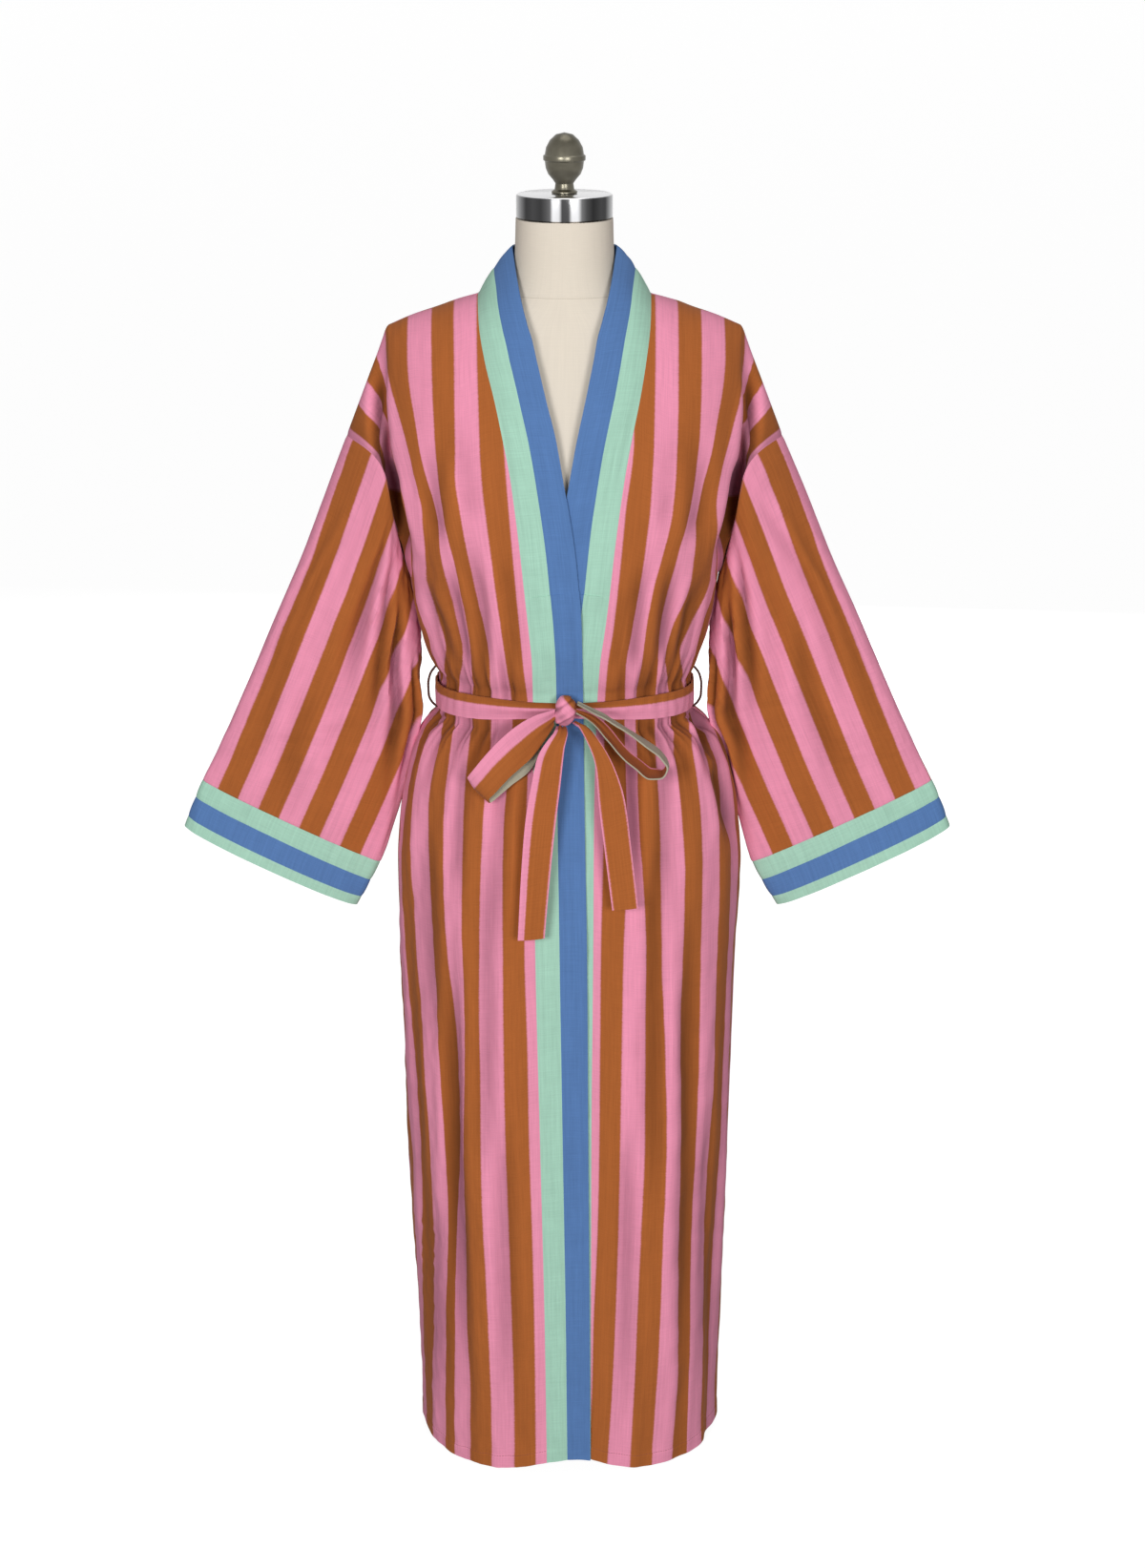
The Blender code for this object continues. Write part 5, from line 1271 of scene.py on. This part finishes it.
# Patches of lighter and darker metal on the knob.
def patchMetal(look, shader, dark, light):
    tree = look.node_tree
    spot = tree.nodes.new("ShaderNodeTexCoord")
    patches = noise(tree, spot.outputs["Object"], (40.0, 40.0, 60.0), 3.0)
    patches = calc(tree, "MULTIPLY_ADD", calc(tree, "SUBTRACT", patches, 0.5), 1.6, 0.5)
    link(tree, blend(tree, patches, dark, light), shader.inputs["Base Color"])


paintReflectionStreaks(chromeLook, chromeShader, 1.3383)
agedLook, agedShader = newLook("agedMetal", (0.128, 0.118, 0.090), 0.31, 1.0)
patchMetal(agedLook, agedShader, (0.080, 0.073, 0.054), (0.172, 0.160, 0.125))
baseLook, baseShader = newLook("baseMetal", (0.62, 0.62, 0.63), 0.35, 1.0)
print("materials done")


# Fronts and back.
sides = ((-1, "Right"), (1, "Left"))
panels = {(side, half): bodyPanel(side, half) for side in (-1, 1) for half in ("front", "back")}
for side, word in sides:
    outer, normal, flat, up, shade = panels[side, "front"]
    item = clothWall("front" + word, outer, normal, (flat, up), clothThick, [stripeLook],
                     shade=shade)
    register(item, "front_" + word.lower(), "stripe_cloth")
joined = []
for i in range(5):
    right = panels[-1, "back"][i][:, ::-1]
    right = -right if i == 2 else right
    joined.append(np.concatenate((right, panels[1, "back"][i][:, 1:]), axis=1))
outer, normal, flat, up, shade = joined
flat = flat + stripeWide / 2 + stripeStart
item = clothWall("backPanel", outer, normal, (flat, up), clothThick, [stripeLook], shade=shade)
register(item, "back", "stripe_cloth")
print("body done")


# Place in the sleeve's pattern, that runs round both ways from the outer fold.
def sleeveArc(side, ring):
    away = ring[..., 0] * (-side * 0.9173) + ring[..., 2] * -0.3983
    away = np.maximum(away - away[:, armholeSteps:armholeSteps + 1], 0.0)
    arc = 1.045 * away + 0.006 * (1 - np.exp(-away / 0.004))
    back = np.arange(ring.shape[1]) < armholeSteps
    return np.where(back, -arc, arc)


# A closed row with its first point repeated at the end.
def wholeRing(grid):
    return np.concatenate((grid, grid[:, :1]), axis=1)


sleeveSettings = {"length": 0.40, "steps": 0.0098, "crease": 1.8, "waves": (0.0010, 0.00032),
                  "armholePaintedShade": 0.0052, "armholeDip": 0.0007, "cuffDip": 0.0006, "calmFold": 0.85,
                  "pattern": 0.1007, "drift": {-1: 0.0125, 1: 0.0140}}
cuffSettings = {"thick": 0.0013, "wave": 0.0004, "long": 0.054, "sink": 0.0003}
cuffParts = (("cuffUpper", "cuff_upper_", mintLook, "mint_cloth", 0.019, 13),
             ("cuffMiddle", "cuff_middle_", blueLook, "blue_cloth", 0.025, 13),
             ("cuffLower", "cuff_lower_", mintLook, "mint_cloth", 0.010, 9))


# A sleeve and the three strips of its cuff.
def makeSleeve(side, word):
    settings = sleeveSettings
    wide = 2 * armholeSteps
    around = 0.5 + np.arange(wide) / wide
    along = np.array(spaced(0, 0.03, 0.005) + spaced(0.03, 0.97, settings["steps"])
                     + spaced(0.97, 1.0, 0.006) + [1.0])
    u, k = np.meshgrid(around % 1.0, along)
    outer = sleevePoint(side, u, k)
    normal = normalOf(lambda a, b: sleevePoint(side, a, b), u, k, side, 0.006)
    flat = settings["pattern"] - settings["drift"][side] * wholeRing(k)
    flat = flat + sleeveArc(side, wholeRing(outer))
    depth = settings["crease"] * trough(sleeveCreases[side], u, k)
    # Painted shade along the sleeve's creases and under the arm, where it meets the body.
    underarmShadeMask = bell((u - 0.48) / 0.055) * (1 - ease((k - 0.12) / 0.50))
    dark = depth + settings["armholePaintedShade"] * underarmShadeMask
    a = np.sin(2 * math.pi * u) * 0.06
    b = np.cos(2 * math.pi * u) * 0.09
    depth = depth + settings["waves"][0] * waves(a + b, k * 0.16 + a * 0.3, 0.040, 50 + side)
    depth = depth + settings["waves"][1] * waves(a - b * 0.6, k * 0.26, 0.017, 55 + side)
    depth = depth * (1 - settings["calmFold"] * bell(np.minimum(u, 1 - u) / 0.040))
    down = k * settings["length"]
    left = settings["length"] - down
    depth = depth * ease(down / 0.022) * (0.25 + 0.75 * ease(left / 0.030))
    depth = depth + settings["armholeDip"] * bell(down / 0.0024)
    depth = depth + settings["cuffDip"] * bell(left / 0.0022)
    end = depth[-1]
    # Painted shade of the CAD folds, stronger toward the underarm.
    folds = np.linalg.norm(sleeveBase(side, u, k) - outer, axis=-1)
    folds = folds * (0.2 + 0.8 * ease((u - 0.20) / 0.16))
    outer = outer - normal * depth[..., None]
    item = clothWall("sleeve" + word, outer, normal, (flat, wholeRing(down) + 1.0), clothThick,
                     [stripeLook], closed=True, shade=paintedCreaseShade(dark + foldShadeWeight * folds))
    register(item, "sleeve_" + word.lower(), "stripe_cloth")
    for i, (name, node, paint, slotName, wideCut, steps) in enumerate(cuffParts):
        t = np.linspace(0, 1, steps)
        down = cuffStrips[i] + (cuffStrips[i + 1] - cuffStrips[i]) * t
        u, k = np.meshgrid(around % 1.0, 1 + down)
        outer = sleevePoint(side, u, k)
        normal = normalOf(lambda a, b: sleevePoint(side, a, b), u, k, side, 0.006)
        if i == 2:
            puff = 0.0005 * np.sin(math.pi * np.minimum(t, 0.75) / 0.75 * 0.5)[:, None]
        else:
            puff = 0.0007 * np.sin(math.pi * t)[:, None] ** 0.6
        puff = puff - cuffSettings["sink"]
        a = np.sin(2 * math.pi * u) * 0.05
        b = np.cos(2 * math.pi * u) * 0.07 + k * 0.02
        rise = puff + cuffSettings["wave"] * waves(a, b, 0.03, 60 + side)
        if i == 0:
            rise = rise - np.exp(-(k - 1) / 0.25) * (end[None, :] - 0.0006)
        outer = outer + normal * rise[..., None]
        flat = (sleeveArc(side, wholeRing(outer)), wholeRing(k) * cuffSettings["long"])
        item = clothWall(name + word, outer, normal, flat, cuffSettings["thick"], [paint],
                         closed=True)
        register(item, node + word.lower(), slotName)


for side, word in sides:
    makeSleeve(side, word)
print("sleeves done")


bandSettings = {"meets": 0.47, "thick": 0.0014, "puff": 0.0009, "sink": 0.0004,
                "waves": (0.00045, 0.0002), "behind": 46, "reach": 0.054}
bandParts = (("bandInner", (0, 0.47, 12), mintLook, "mint_cloth", "band_inner_", 0.026),
             ("bandEdge", (0.47, 1.0, 13), blueLook, "blue_cloth", "band_edge_", 0.028))


# Collar and front band: mint half and blue half on each side.
def makeBand(side, word):
    settings = bandSettings
    levels = np.concatenate((rows, 2.0 + np.linspace(0, 1, settings["behind"])[1:]))
    seam = panels[side, "front"][0][:, 0]
    for name, span, paint, slotName, node, wideCut in bandParts:
        columns = np.linspace(*span)
        c, r = np.meshgrid(columns, levels)
        outer = bandSurface(side, c, r)
        normal = normalOf(lambda a, b: bandSurface(side, a, b), c, r, -side, 0.02)
        gap = np.zeros((len(levels), 3))
        if name == "bandInner":
            gap[:len(rows)] = seam - outer[:len(rows), 0]
        outer = outer + gap[:, None, :] * ((1 - c / settings["meets"]).clip(0, 1) ** 2)[..., None]
        t = (columns - columns[0]) / (columns[-1] - columns[0])
        puff = settings["puff"] * np.sin(math.pi * t) ** 0.6 - settings["sink"]
        z = outer[..., 2]
        wave = settings["waves"][0] * waves(c * 0.05, z, 0.07, 70 + side)
        wave = wave + settings["waves"][1] * waves(c * 0.05, z, 0.022, 72 + side)
        rise = np.minimum(puff[None, :] + wave, 0.0030 - 0.0027 * nearBelt(z))
        outer = outer + normal * (rise * ease(c / 0.06))[..., None]
        flat = (c * settings["reach"] + 0.2 * (side > 0), arcAlong(outer, 0))
        item = clothWall(name + word, outer, normal, flat, settings["thick"], [paint])
        register(item, node + word.lower(), slotName)


for side, word in sides:
    makeBand(side, word)
print("bands done")


beltSettings = {"wide": 260, "high": 15, "narrow": 0.80, "thick": 0.0016, "crease": 0.0011,
                "wave": 0.00035, "belly": 0.0005, "dark": 0.0016, "folded": 0.0256}


# Belt round the waist, with the creases that run into the knot.
def makeBelt():
    settings = beltSettings
    wide = settings["wide"]
    turn = 2 * math.pi * (np.arange(wide) / wide + 0.5)
    angle = np.angle(np.exp(1j * turn))
    half = beltHalf + (settings["narrow"] * beltKnotHalf - beltHalf) * bell(np.abs(angle) / 0.48)
    front = 0.5 + 0.5 * np.cos(turn)
    middle = beltSideHeight + (beltFrontHeight - beltSideHeight) * front ** 1.5
    power = 2.0 / squareness
    f = np.linspace(-1, 1, settings["high"])[:, None]
    depth = np.where(np.cos(turn) > 0, beltFront, beltBack)
    ringX = signedPower(np.sin(turn), power) * beltWidth
    ringY = -depth * signedPower(np.cos(turn), power)
    flatWay = np.stack((ringX, ringY), axis=1)
    ahead = np.roll(flatWay, -1, axis=0) - np.roll(flatWay, 1, axis=0)
    out = np.stack((-ahead[:, 1], ahead[:, 0], 0 * turn), axis=1)
    out = out * np.sign((out[:, :2] * flatWay).sum(axis=1))[:, None]
    out = out / np.linalg.norm(out, axis=1, keepdims=True)
    angle = angle[None, :]
    pinch = bell(np.abs(angle) / 0.55)
    ripple = np.sin(f * 5.2 + 0.8)
    # Painted shade in the creases that run into the knot.
    shade = paintedCreaseShade(settings["dark"] * pinch * (1 - ripple))
    relief = settings["crease"] * ripple * pinch
    relief = relief + settings["wave"] * waves(angle * 0.13, f * 0.010, 0.020, 81)
    relief = relief + settings["belly"] * (1 - np.abs(f) ** 4)
    normal = np.broadcast_to(out[None], (settings["high"], wide, 3))
    outer = stack(ringX[None, :], ringY[None, :], middle[None, :] + half[None, :] * f)
    outer = outer + normal * (beltThickness + relief)[..., None]
    length = np.cumsum(np.linalg.norm(ahead, axis=1) / 2)
    flatU = stripeStart - 0.0085 + settings["folded"] * (1 - f) / 2 + 0 * length[None, :]
    flatV = 3.0 + np.concatenate((length, [length[-1] + 0.003]))[None, :] + 0 * f
    item = clothWall("waistBelt", outer, normal, (wholeRing(flatU), flatV), settings["thick"],
                     [stripeLook], closed=True, shade=shade)
    register(item, "belt", "belt_cloth")


makeBelt()


# A strip of the belt through stations that give both its edges.
def makeRibbon(name, node, stations, looks, settings):
    line = np.array(stations, float)
    at = np.arange(len(line), dtype=float)
    fine = np.linspace(0.0, at[-1], settings["steps"])
    first, second = (np.stack([through(at, line[:, i], fine) for i in group], axis=-1)
                     for group in ((0, 1, 2), (3, 4, 5)))
    t = np.linspace(0, 1, settings["steps"])
    sag = settings["open"] * np.sin(math.pi * np.clip((t - 0.46) / 0.54, 0, 1))
    first = first - stack(0.35 * sag, 0.0, sag)
    second = second - stack(0.35 * sag, 0.0, sag)
    along = np.gradient((first + second) / 2, axis=0)
    face = np.cross(along, second - first)
    face = face / np.linalg.norm(face, axis=-1, keepdims=True)
    f = np.linspace(0, 1, 15)
    ends = bell(t / 0.16)
    if settings["closed"]:
        ends = ends + bell((1 - t) / 0.16)
    belly = np.sin(math.pi * f)
    ripple = np.sin(f * 13.0 + settings["seed"])
    ruffle = waves(f[None, :] * 0.03, t[:, None] * settings["length"], 0.035, settings["seed"])
    rise = settings["bow"] * belly[None, :] + 0 * t[:, None]
    rise = rise + 0.0011 * ends[:, None] * ripple[None, :] * belly[None, :]
    rise = rise + settings["wave"] * ruffle
    grid = first[:, None] + (second - first)[:, None] * f[None, :, None]
    grid = grid + face[:, None] * rise[..., None]
    outer = grid + face[:, None] * 0.0008
    normal = np.broadcast_to(face[:, None], grid.shape)
    low, high = settings["flat"]
    flatU = low + (high - low) * f[None, :] + 0 * t[:, None]
    flatV = 4.0 + t[:, None] * settings["length"] + 0 * f[None, :]
    # Painted shade in the ripples at the ribbon's ends.
    shade = paintedCreaseShade(0.0030 * ends[:, None] * (0.7 - 0.5 * ripple)[None, :])
    item = clothWall(name, outer, normal, (flatU, flatV), 0.0015, looks, shade=shade)
    register(item, node, "belt_cloth")


makeRibbon("bowLoopRight", "bow_loop_right", rightLoop, [stripeLook, sageLook],
           {"steps": 130, "closed": True, "open": 0.0060, "bow": 0.0014, "seed": 1, "wave": 0.0005,
            "length": 0.235, "flat": (0.1005, 0.0705), "width": 0.031})
makeRibbon("bowLoopLeft", "bow_loop_left", leftLoop, [sageLook, stripeLook],
           {"steps": 150, "closed": True, "open": 0.0, "bow": 0.0010, "seed": 2, "wave": 0.0004,
            "length": 0.235, "flat": (0.0660, 0.0900), "width": 0.026})
makeRibbon("beltTailRight", "belt_tail_right", rightTail, [stripeLook],
           {"steps": 120, "closed": False, "open": 0.0, "bow": 0.0012, "seed": 3, "wave": 0.0005,
            "length": 0.235, "flat": (0.0562, 0.0902), "width": 0.027})
makeRibbon("beltTailLeft", "belt_tail_left", leftTail, [stripeLook],
           {"steps": 120, "closed": False, "open": 0.0, "bow": 0.0012, "seed": 4, "wave": 0.0005,
            "length": 0.205, "flat": (0.0624, 0.0896), "width": 0.026})


knotSettings = {"wide": 64, "high": 40, "square": 0.85, "dark": 4.5, "fill": 0.8}


# The knot: a rounded wrap of the belt with folds across it.
def makeKnot():
    settings = knotSettings
    build = bmesh.new()
    bmesh.ops.create_uvsphere(build, u_segments=settings["wide"], v_segments=settings["high"],
                              radius=1.0)
    layer = build.loops.layers.uv.new("Flat")
    spots = {}
    dentShade = []
    for vert in build.verts:
        p = np.array(vert.co)
        p = signedPower(p, settings["square"])
        fold = p[2] * 1.9 - p[0] * 1.1
        ridge = 1 + 0.06 * math.sin(3.2 * p[2] + 2.0 * p[0]) - 0.13 * bell((fold - 1.15) / 0.16)
        ridge = ridge - 0.10 * bell((fold + 1.25) / 0.20) + 0.03 * math.sin(fold * 5.0)
        x = p[0] * knotHalf[0] * ridge
        z = p[2] * knotHalf[2] * (1 + (ridge - 1) * 0.5)
        y = p[1] * knotHalf[1] * ridge
        vert.co = (knotCentre[0] + x * math.cos(knotTilt) + z * math.sin(knotTilt),
                   knotCentre[1] + y,
                   knotCentre[2] + lift - x * math.sin(knotTilt) + z * math.cos(knotTilt))
        spots[vert.index] = (x, z)
        # Painted shade in the hollows of the knot's folds.
        dentShade.append(1 - np.clip((1.0 - ridge) * settings["dark"], -0.05, 0.5))
    for face in build.faces:
        face.smooth = True
        for loop in face.loops:
            x, z = spots[loop.vert.index]
            loop[layer].uv = (stripeStart - (0.62 * x + 0.78 * z - 0.0088), 5.0 + x)
    mesh = bpy.data.meshes.new("bowKnot")
    build.to_mesh(mesh)
    build.free()
    fold = mesh.attributes.new("PaintedShade", "FLOAT", "POINT")
    fold.data.foreach_set("value", np.array(dentShade, np.float32))
    mesh.materials.append(stripeLook)
    item = addItem("bowKnot", mesh)
    register(item, "belt_knot", "belt_cloth")


makeKnot()
print("bow done")


torsoSettings = {"wide": 120, "square": 2.15, "seamHeight": 1.2365, "seamDepth": 0.0006,
                 "middleDepth": 0.0005, "girth": 0.6}


# The dress form under the robe.
def makeTorso():
    settings = torsoSettings
    sections = np.array(formTable)
    heights = np.array(spaced(0.6000, 0.6060, 0.0020) + spaced(0.6060, 1.18, 0.0080)
                       + spaced(1.18, 1.24, 0.0018) + spaced(1.24, 1.309, 0.0030) + [1.309])
    wide = settings["wide"]
    turn = 2 * math.pi * np.arange(wide) / wide
    width, front, back = (through(sections[:, 0], sections[:, i], heights)[:, None]
                          for i in (1, 2, 3))
    power = 2.0 / settings["square"]
    c = np.cos(turn)[None, :]
    s = np.sin(turn)[None, :]
    x = width * signedPower(s, power)
    y = -np.where(c > 0, front, back) * signedPower(c, power)
    z = heights[:, None] + lift + 0 * x
    middle = settings["middleDepth"] * bell(np.abs(np.angle(np.exp(1j * turn))) / 0.022)[None, :]
    y = y + middle * np.sign(c)
    seam = settings["seamDepth"] * bell((heights - settings["seamHeight"]) / 0.0012)[:, None]
    x = x * (1 - seam / width)
    y = y * (1 - seam / front)
    verts = np.stack((x, y, z), axis=-1).reshape(-1, 3)
    mesh = bpy.data.meshes.new("torso")
    mesh.from_pydata(verts.tolist(), [], tubeFaces(len(heights), wide))
    layer = mesh.uv_layers.new(name="Flat")
    girth = np.linspace(0, settings["girth"], wide + 1)
    spots = []
    for i in range(len(heights) - 1):
        for j in range(wide):
            spots += [(girth[j], heights[i]), (girth[j + 1], heights[i]),
                      (girth[j + 1], heights[i + 1]), (girth[j], heights[i + 1])]
    spots += [(0.0, 0.0)] * (2 * wide)
    layer.data.foreach_set("uv", np.array(spots, np.float32).ravel())
    mesh.materials.append(formLook)
    item = addItem("torso", mesh)
    smooth(item, 40)
    register(item, "form_torso", "form_cloth")


makeTorso()


# A round piece turned about the vertical axis from half its outline.
def turned(name, node, profile, look, slotName, soften):
    mesh = bpy.data.meshes.new(name)
    edges = [(i, i + 1) for i in range(len(profile) - 1)]
    mesh.from_pydata([(x, 0.0, z + lift) for x, z in profile], [], edges)
    item = addItem(name, mesh)
    choose(item)
    screw = item.modifiers.new("turn", "SCREW")
    screw.axis = "Z"
    screw.steps = 64
    screw.render_steps = 64
    screw.use_merge_vertices = True
    screw.merge_threshold = 0.00005
    bpy.ops.object.modifier_apply(modifier="turn")
    bpy.ops.object.mode_set(mode="EDIT")
    bpy.ops.mesh.select_all(action="SELECT")
    bpy.ops.mesh.normals_make_consistent(inside=False)
    bpy.ops.object.mode_set(mode="OBJECT")
    if soften:
        bevel = item.modifiers.new("soften", "BEVEL")
        bevel.width = soften
        bevel.segments = 2
        bevel.limit_method = "ANGLE"
        bevel.angle_limit = math.radians(40)
        bpy.ops.object.modifier_apply(modifier="soften")
    bpy.ops.object.shade_smooth_by_angle(angle=math.radians(35))
    item.data.materials.append(look)
    register(item, node, slotName)


capProfile = ((0.0, 1.3094), (0.0470, 1.3094), (0.0480, 1.3104), (0.0480, 1.3312), (0.0466, 1.3330),
              (0.0, 1.3333))
turned("cap", "form_cap", capProfile, chromeLook, "bright_metal", 0.0006)
turned("knob", "form_knob", knobProfile, agedLook, "aged_metal", 0.0003)
for name in ("form_pole", "form_base"):
    node = bpy.data.objects[name]
    node.data.materials.clear()
    node.data.materials.append(baseLook)


# The thread loops at the side seams: height, and how far beyond the seam.
carrierLine = ((0.850, 0.0012), (0.847, 0.0052), (0.840, 0.0094), (0.830, 0.0112),
               (0.819, 0.0108), (0.811, 0.0074), (0.806, 0.0018))
carrierSettings = {"steps": 60, "count": 10, "radius": 0.00125, "uneven": 0.12, "twist": 26.0}


def makeCarrier(side, word):
    settings = carrierSettings
    heights, beyond = np.array(carrierLine).T
    at = np.arange(len(heights), dtype=float)
    fine = np.linspace(0, at[-1], settings["steps"])
    z = through(at, heights, fine)
    x = lookUp(bodyTable, sideName(side), z) + through(at, beyond, fine)
    path = stack(side * x, 0.0, z + lift)
    along = np.gradient(path, axis=0)
    along = along / np.linalg.norm(along, axis=-1, keepdims=True)
    across = np.cross(along, (0.0, 1.0, 0.0))
    count = settings["count"]
    turn = 2 * math.pi * np.arange(count) / count
    wide = settings["radius"] * (1 + settings["uneven"] * np.sin(fine * settings["twist"]))
    wide = wide[:, None, None]
    ahead = np.array((0.0, 1.0, 0.0))
    ring = across[:, None] * np.cos(turn)[None, :, None] + ahead * np.sin(turn)[None, :, None]
    verts = (path[:, None] + ring * wide).reshape(-1, 3)
    mesh = bpy.data.meshes.new("carrier" + word)
    mesh.from_pydata(verts.tolist(), [], tubeFaces(len(path), count))
    build = bmesh.new()
    build.from_mesh(mesh)
    bmesh.ops.recalc_face_normals(build, faces=build.faces)
    build.to_mesh(mesh)
    build.free()
    mesh.materials.append(threadLook)
    item = addItem("carrier" + word, mesh)
    smooth(item, 60)
    register(item, "belt_loop_" + word.lower(), "thread")


for side, word in sides:
    makeCarrier(side, word)
print("form done")


# Floor, light and camera.
stageSettings = {"floor": (0.20, 0.20, 0.20), "glow": 0.92, "sky": 0.17}
bpy.ops.object.select_all(action="DESELECT")
bpy.ops.mesh.primitive_plane_add(size=260.0, location=(0.0, 0.0, 0.0))
floor = bpy.context.object
floor.name = "floor"
floorLook, floorShader = newLook("floor", stageSettings["floor"], 0.9)
floorShader.inputs["Emission Color"].default_value = (1.0, 1.0, 1.0, 1.0)
floorShader.inputs["Emission Strength"].default_value = stageSettings["glow"]
floor.data.materials.append(floorLook)
floor.visible_diffuse = False
floor.visible_glossy = False
world = bpy.data.worlds.new("studio")
world.use_nodes = True
world.node_tree.nodes["Background"].inputs[0].default_value = (1.0, 1.0, 1.0, 1.0)
tree = world.node_tree
seen = tree.nodes.new("ShaderNodeLightPath")
clear = calc(tree, "MAXIMUM", seen.outputs["Is Camera Ray"], seen.outputs["Is Glossy Ray"])
extra = stageSettings["glow"] - stageSettings["sky"]
glow = calc(tree, "MULTIPLY_ADD", clear, extra, stageSettings["sky"])
link(tree, glow, tree.nodes["Background"].inputs[1])
bpy.context.scene.world = world


def softLight(name, spot, aim, size, power):
    data = bpy.data.lights.new(name, "AREA")
    data.shape = "SQUARE"
    data.size = size
    data.energy = power
    item = addItem(name, data)
    item.location = spot
    item.visible_camera = False
    item.rotation_euler = (Vector(aim) - Vector(spot)).to_track_quat("-Z", "Y").to_euler()
    return item


softLight("key", (-1.3, -3.8, 1.8), (0.0, 0.0, 0.42), 1.1, 76.0)
softLight("fill", (1.2, -3.9, 1.6), (0.0, 0.0, 0.38), 1.2, 70.0)
softLight("top", (0.2, 0.3, 3.6), (0.0, 0.0, 0.9), 1.6, 16.0)
behind = softLight("behind", (0.4, 3.8, 0.85), (0.0, 0.0, 0.65), 1.1, 84.0)
behind.visible_glossy = False

cameraData = bpy.data.cameras.new("camera")
cameraData.lens = 70.07
cameraData.sensor_width = 36.0
camera = addItem("camera", cameraData)
camera.location = (0.008, -3.062, 1.658)
camera.rotation_euler = (math.radians(73.1), 0.0, 0.0)
bpy.context.scene.camera = camera
bpy.context.scene.view_settings.view_transform = "Standard"
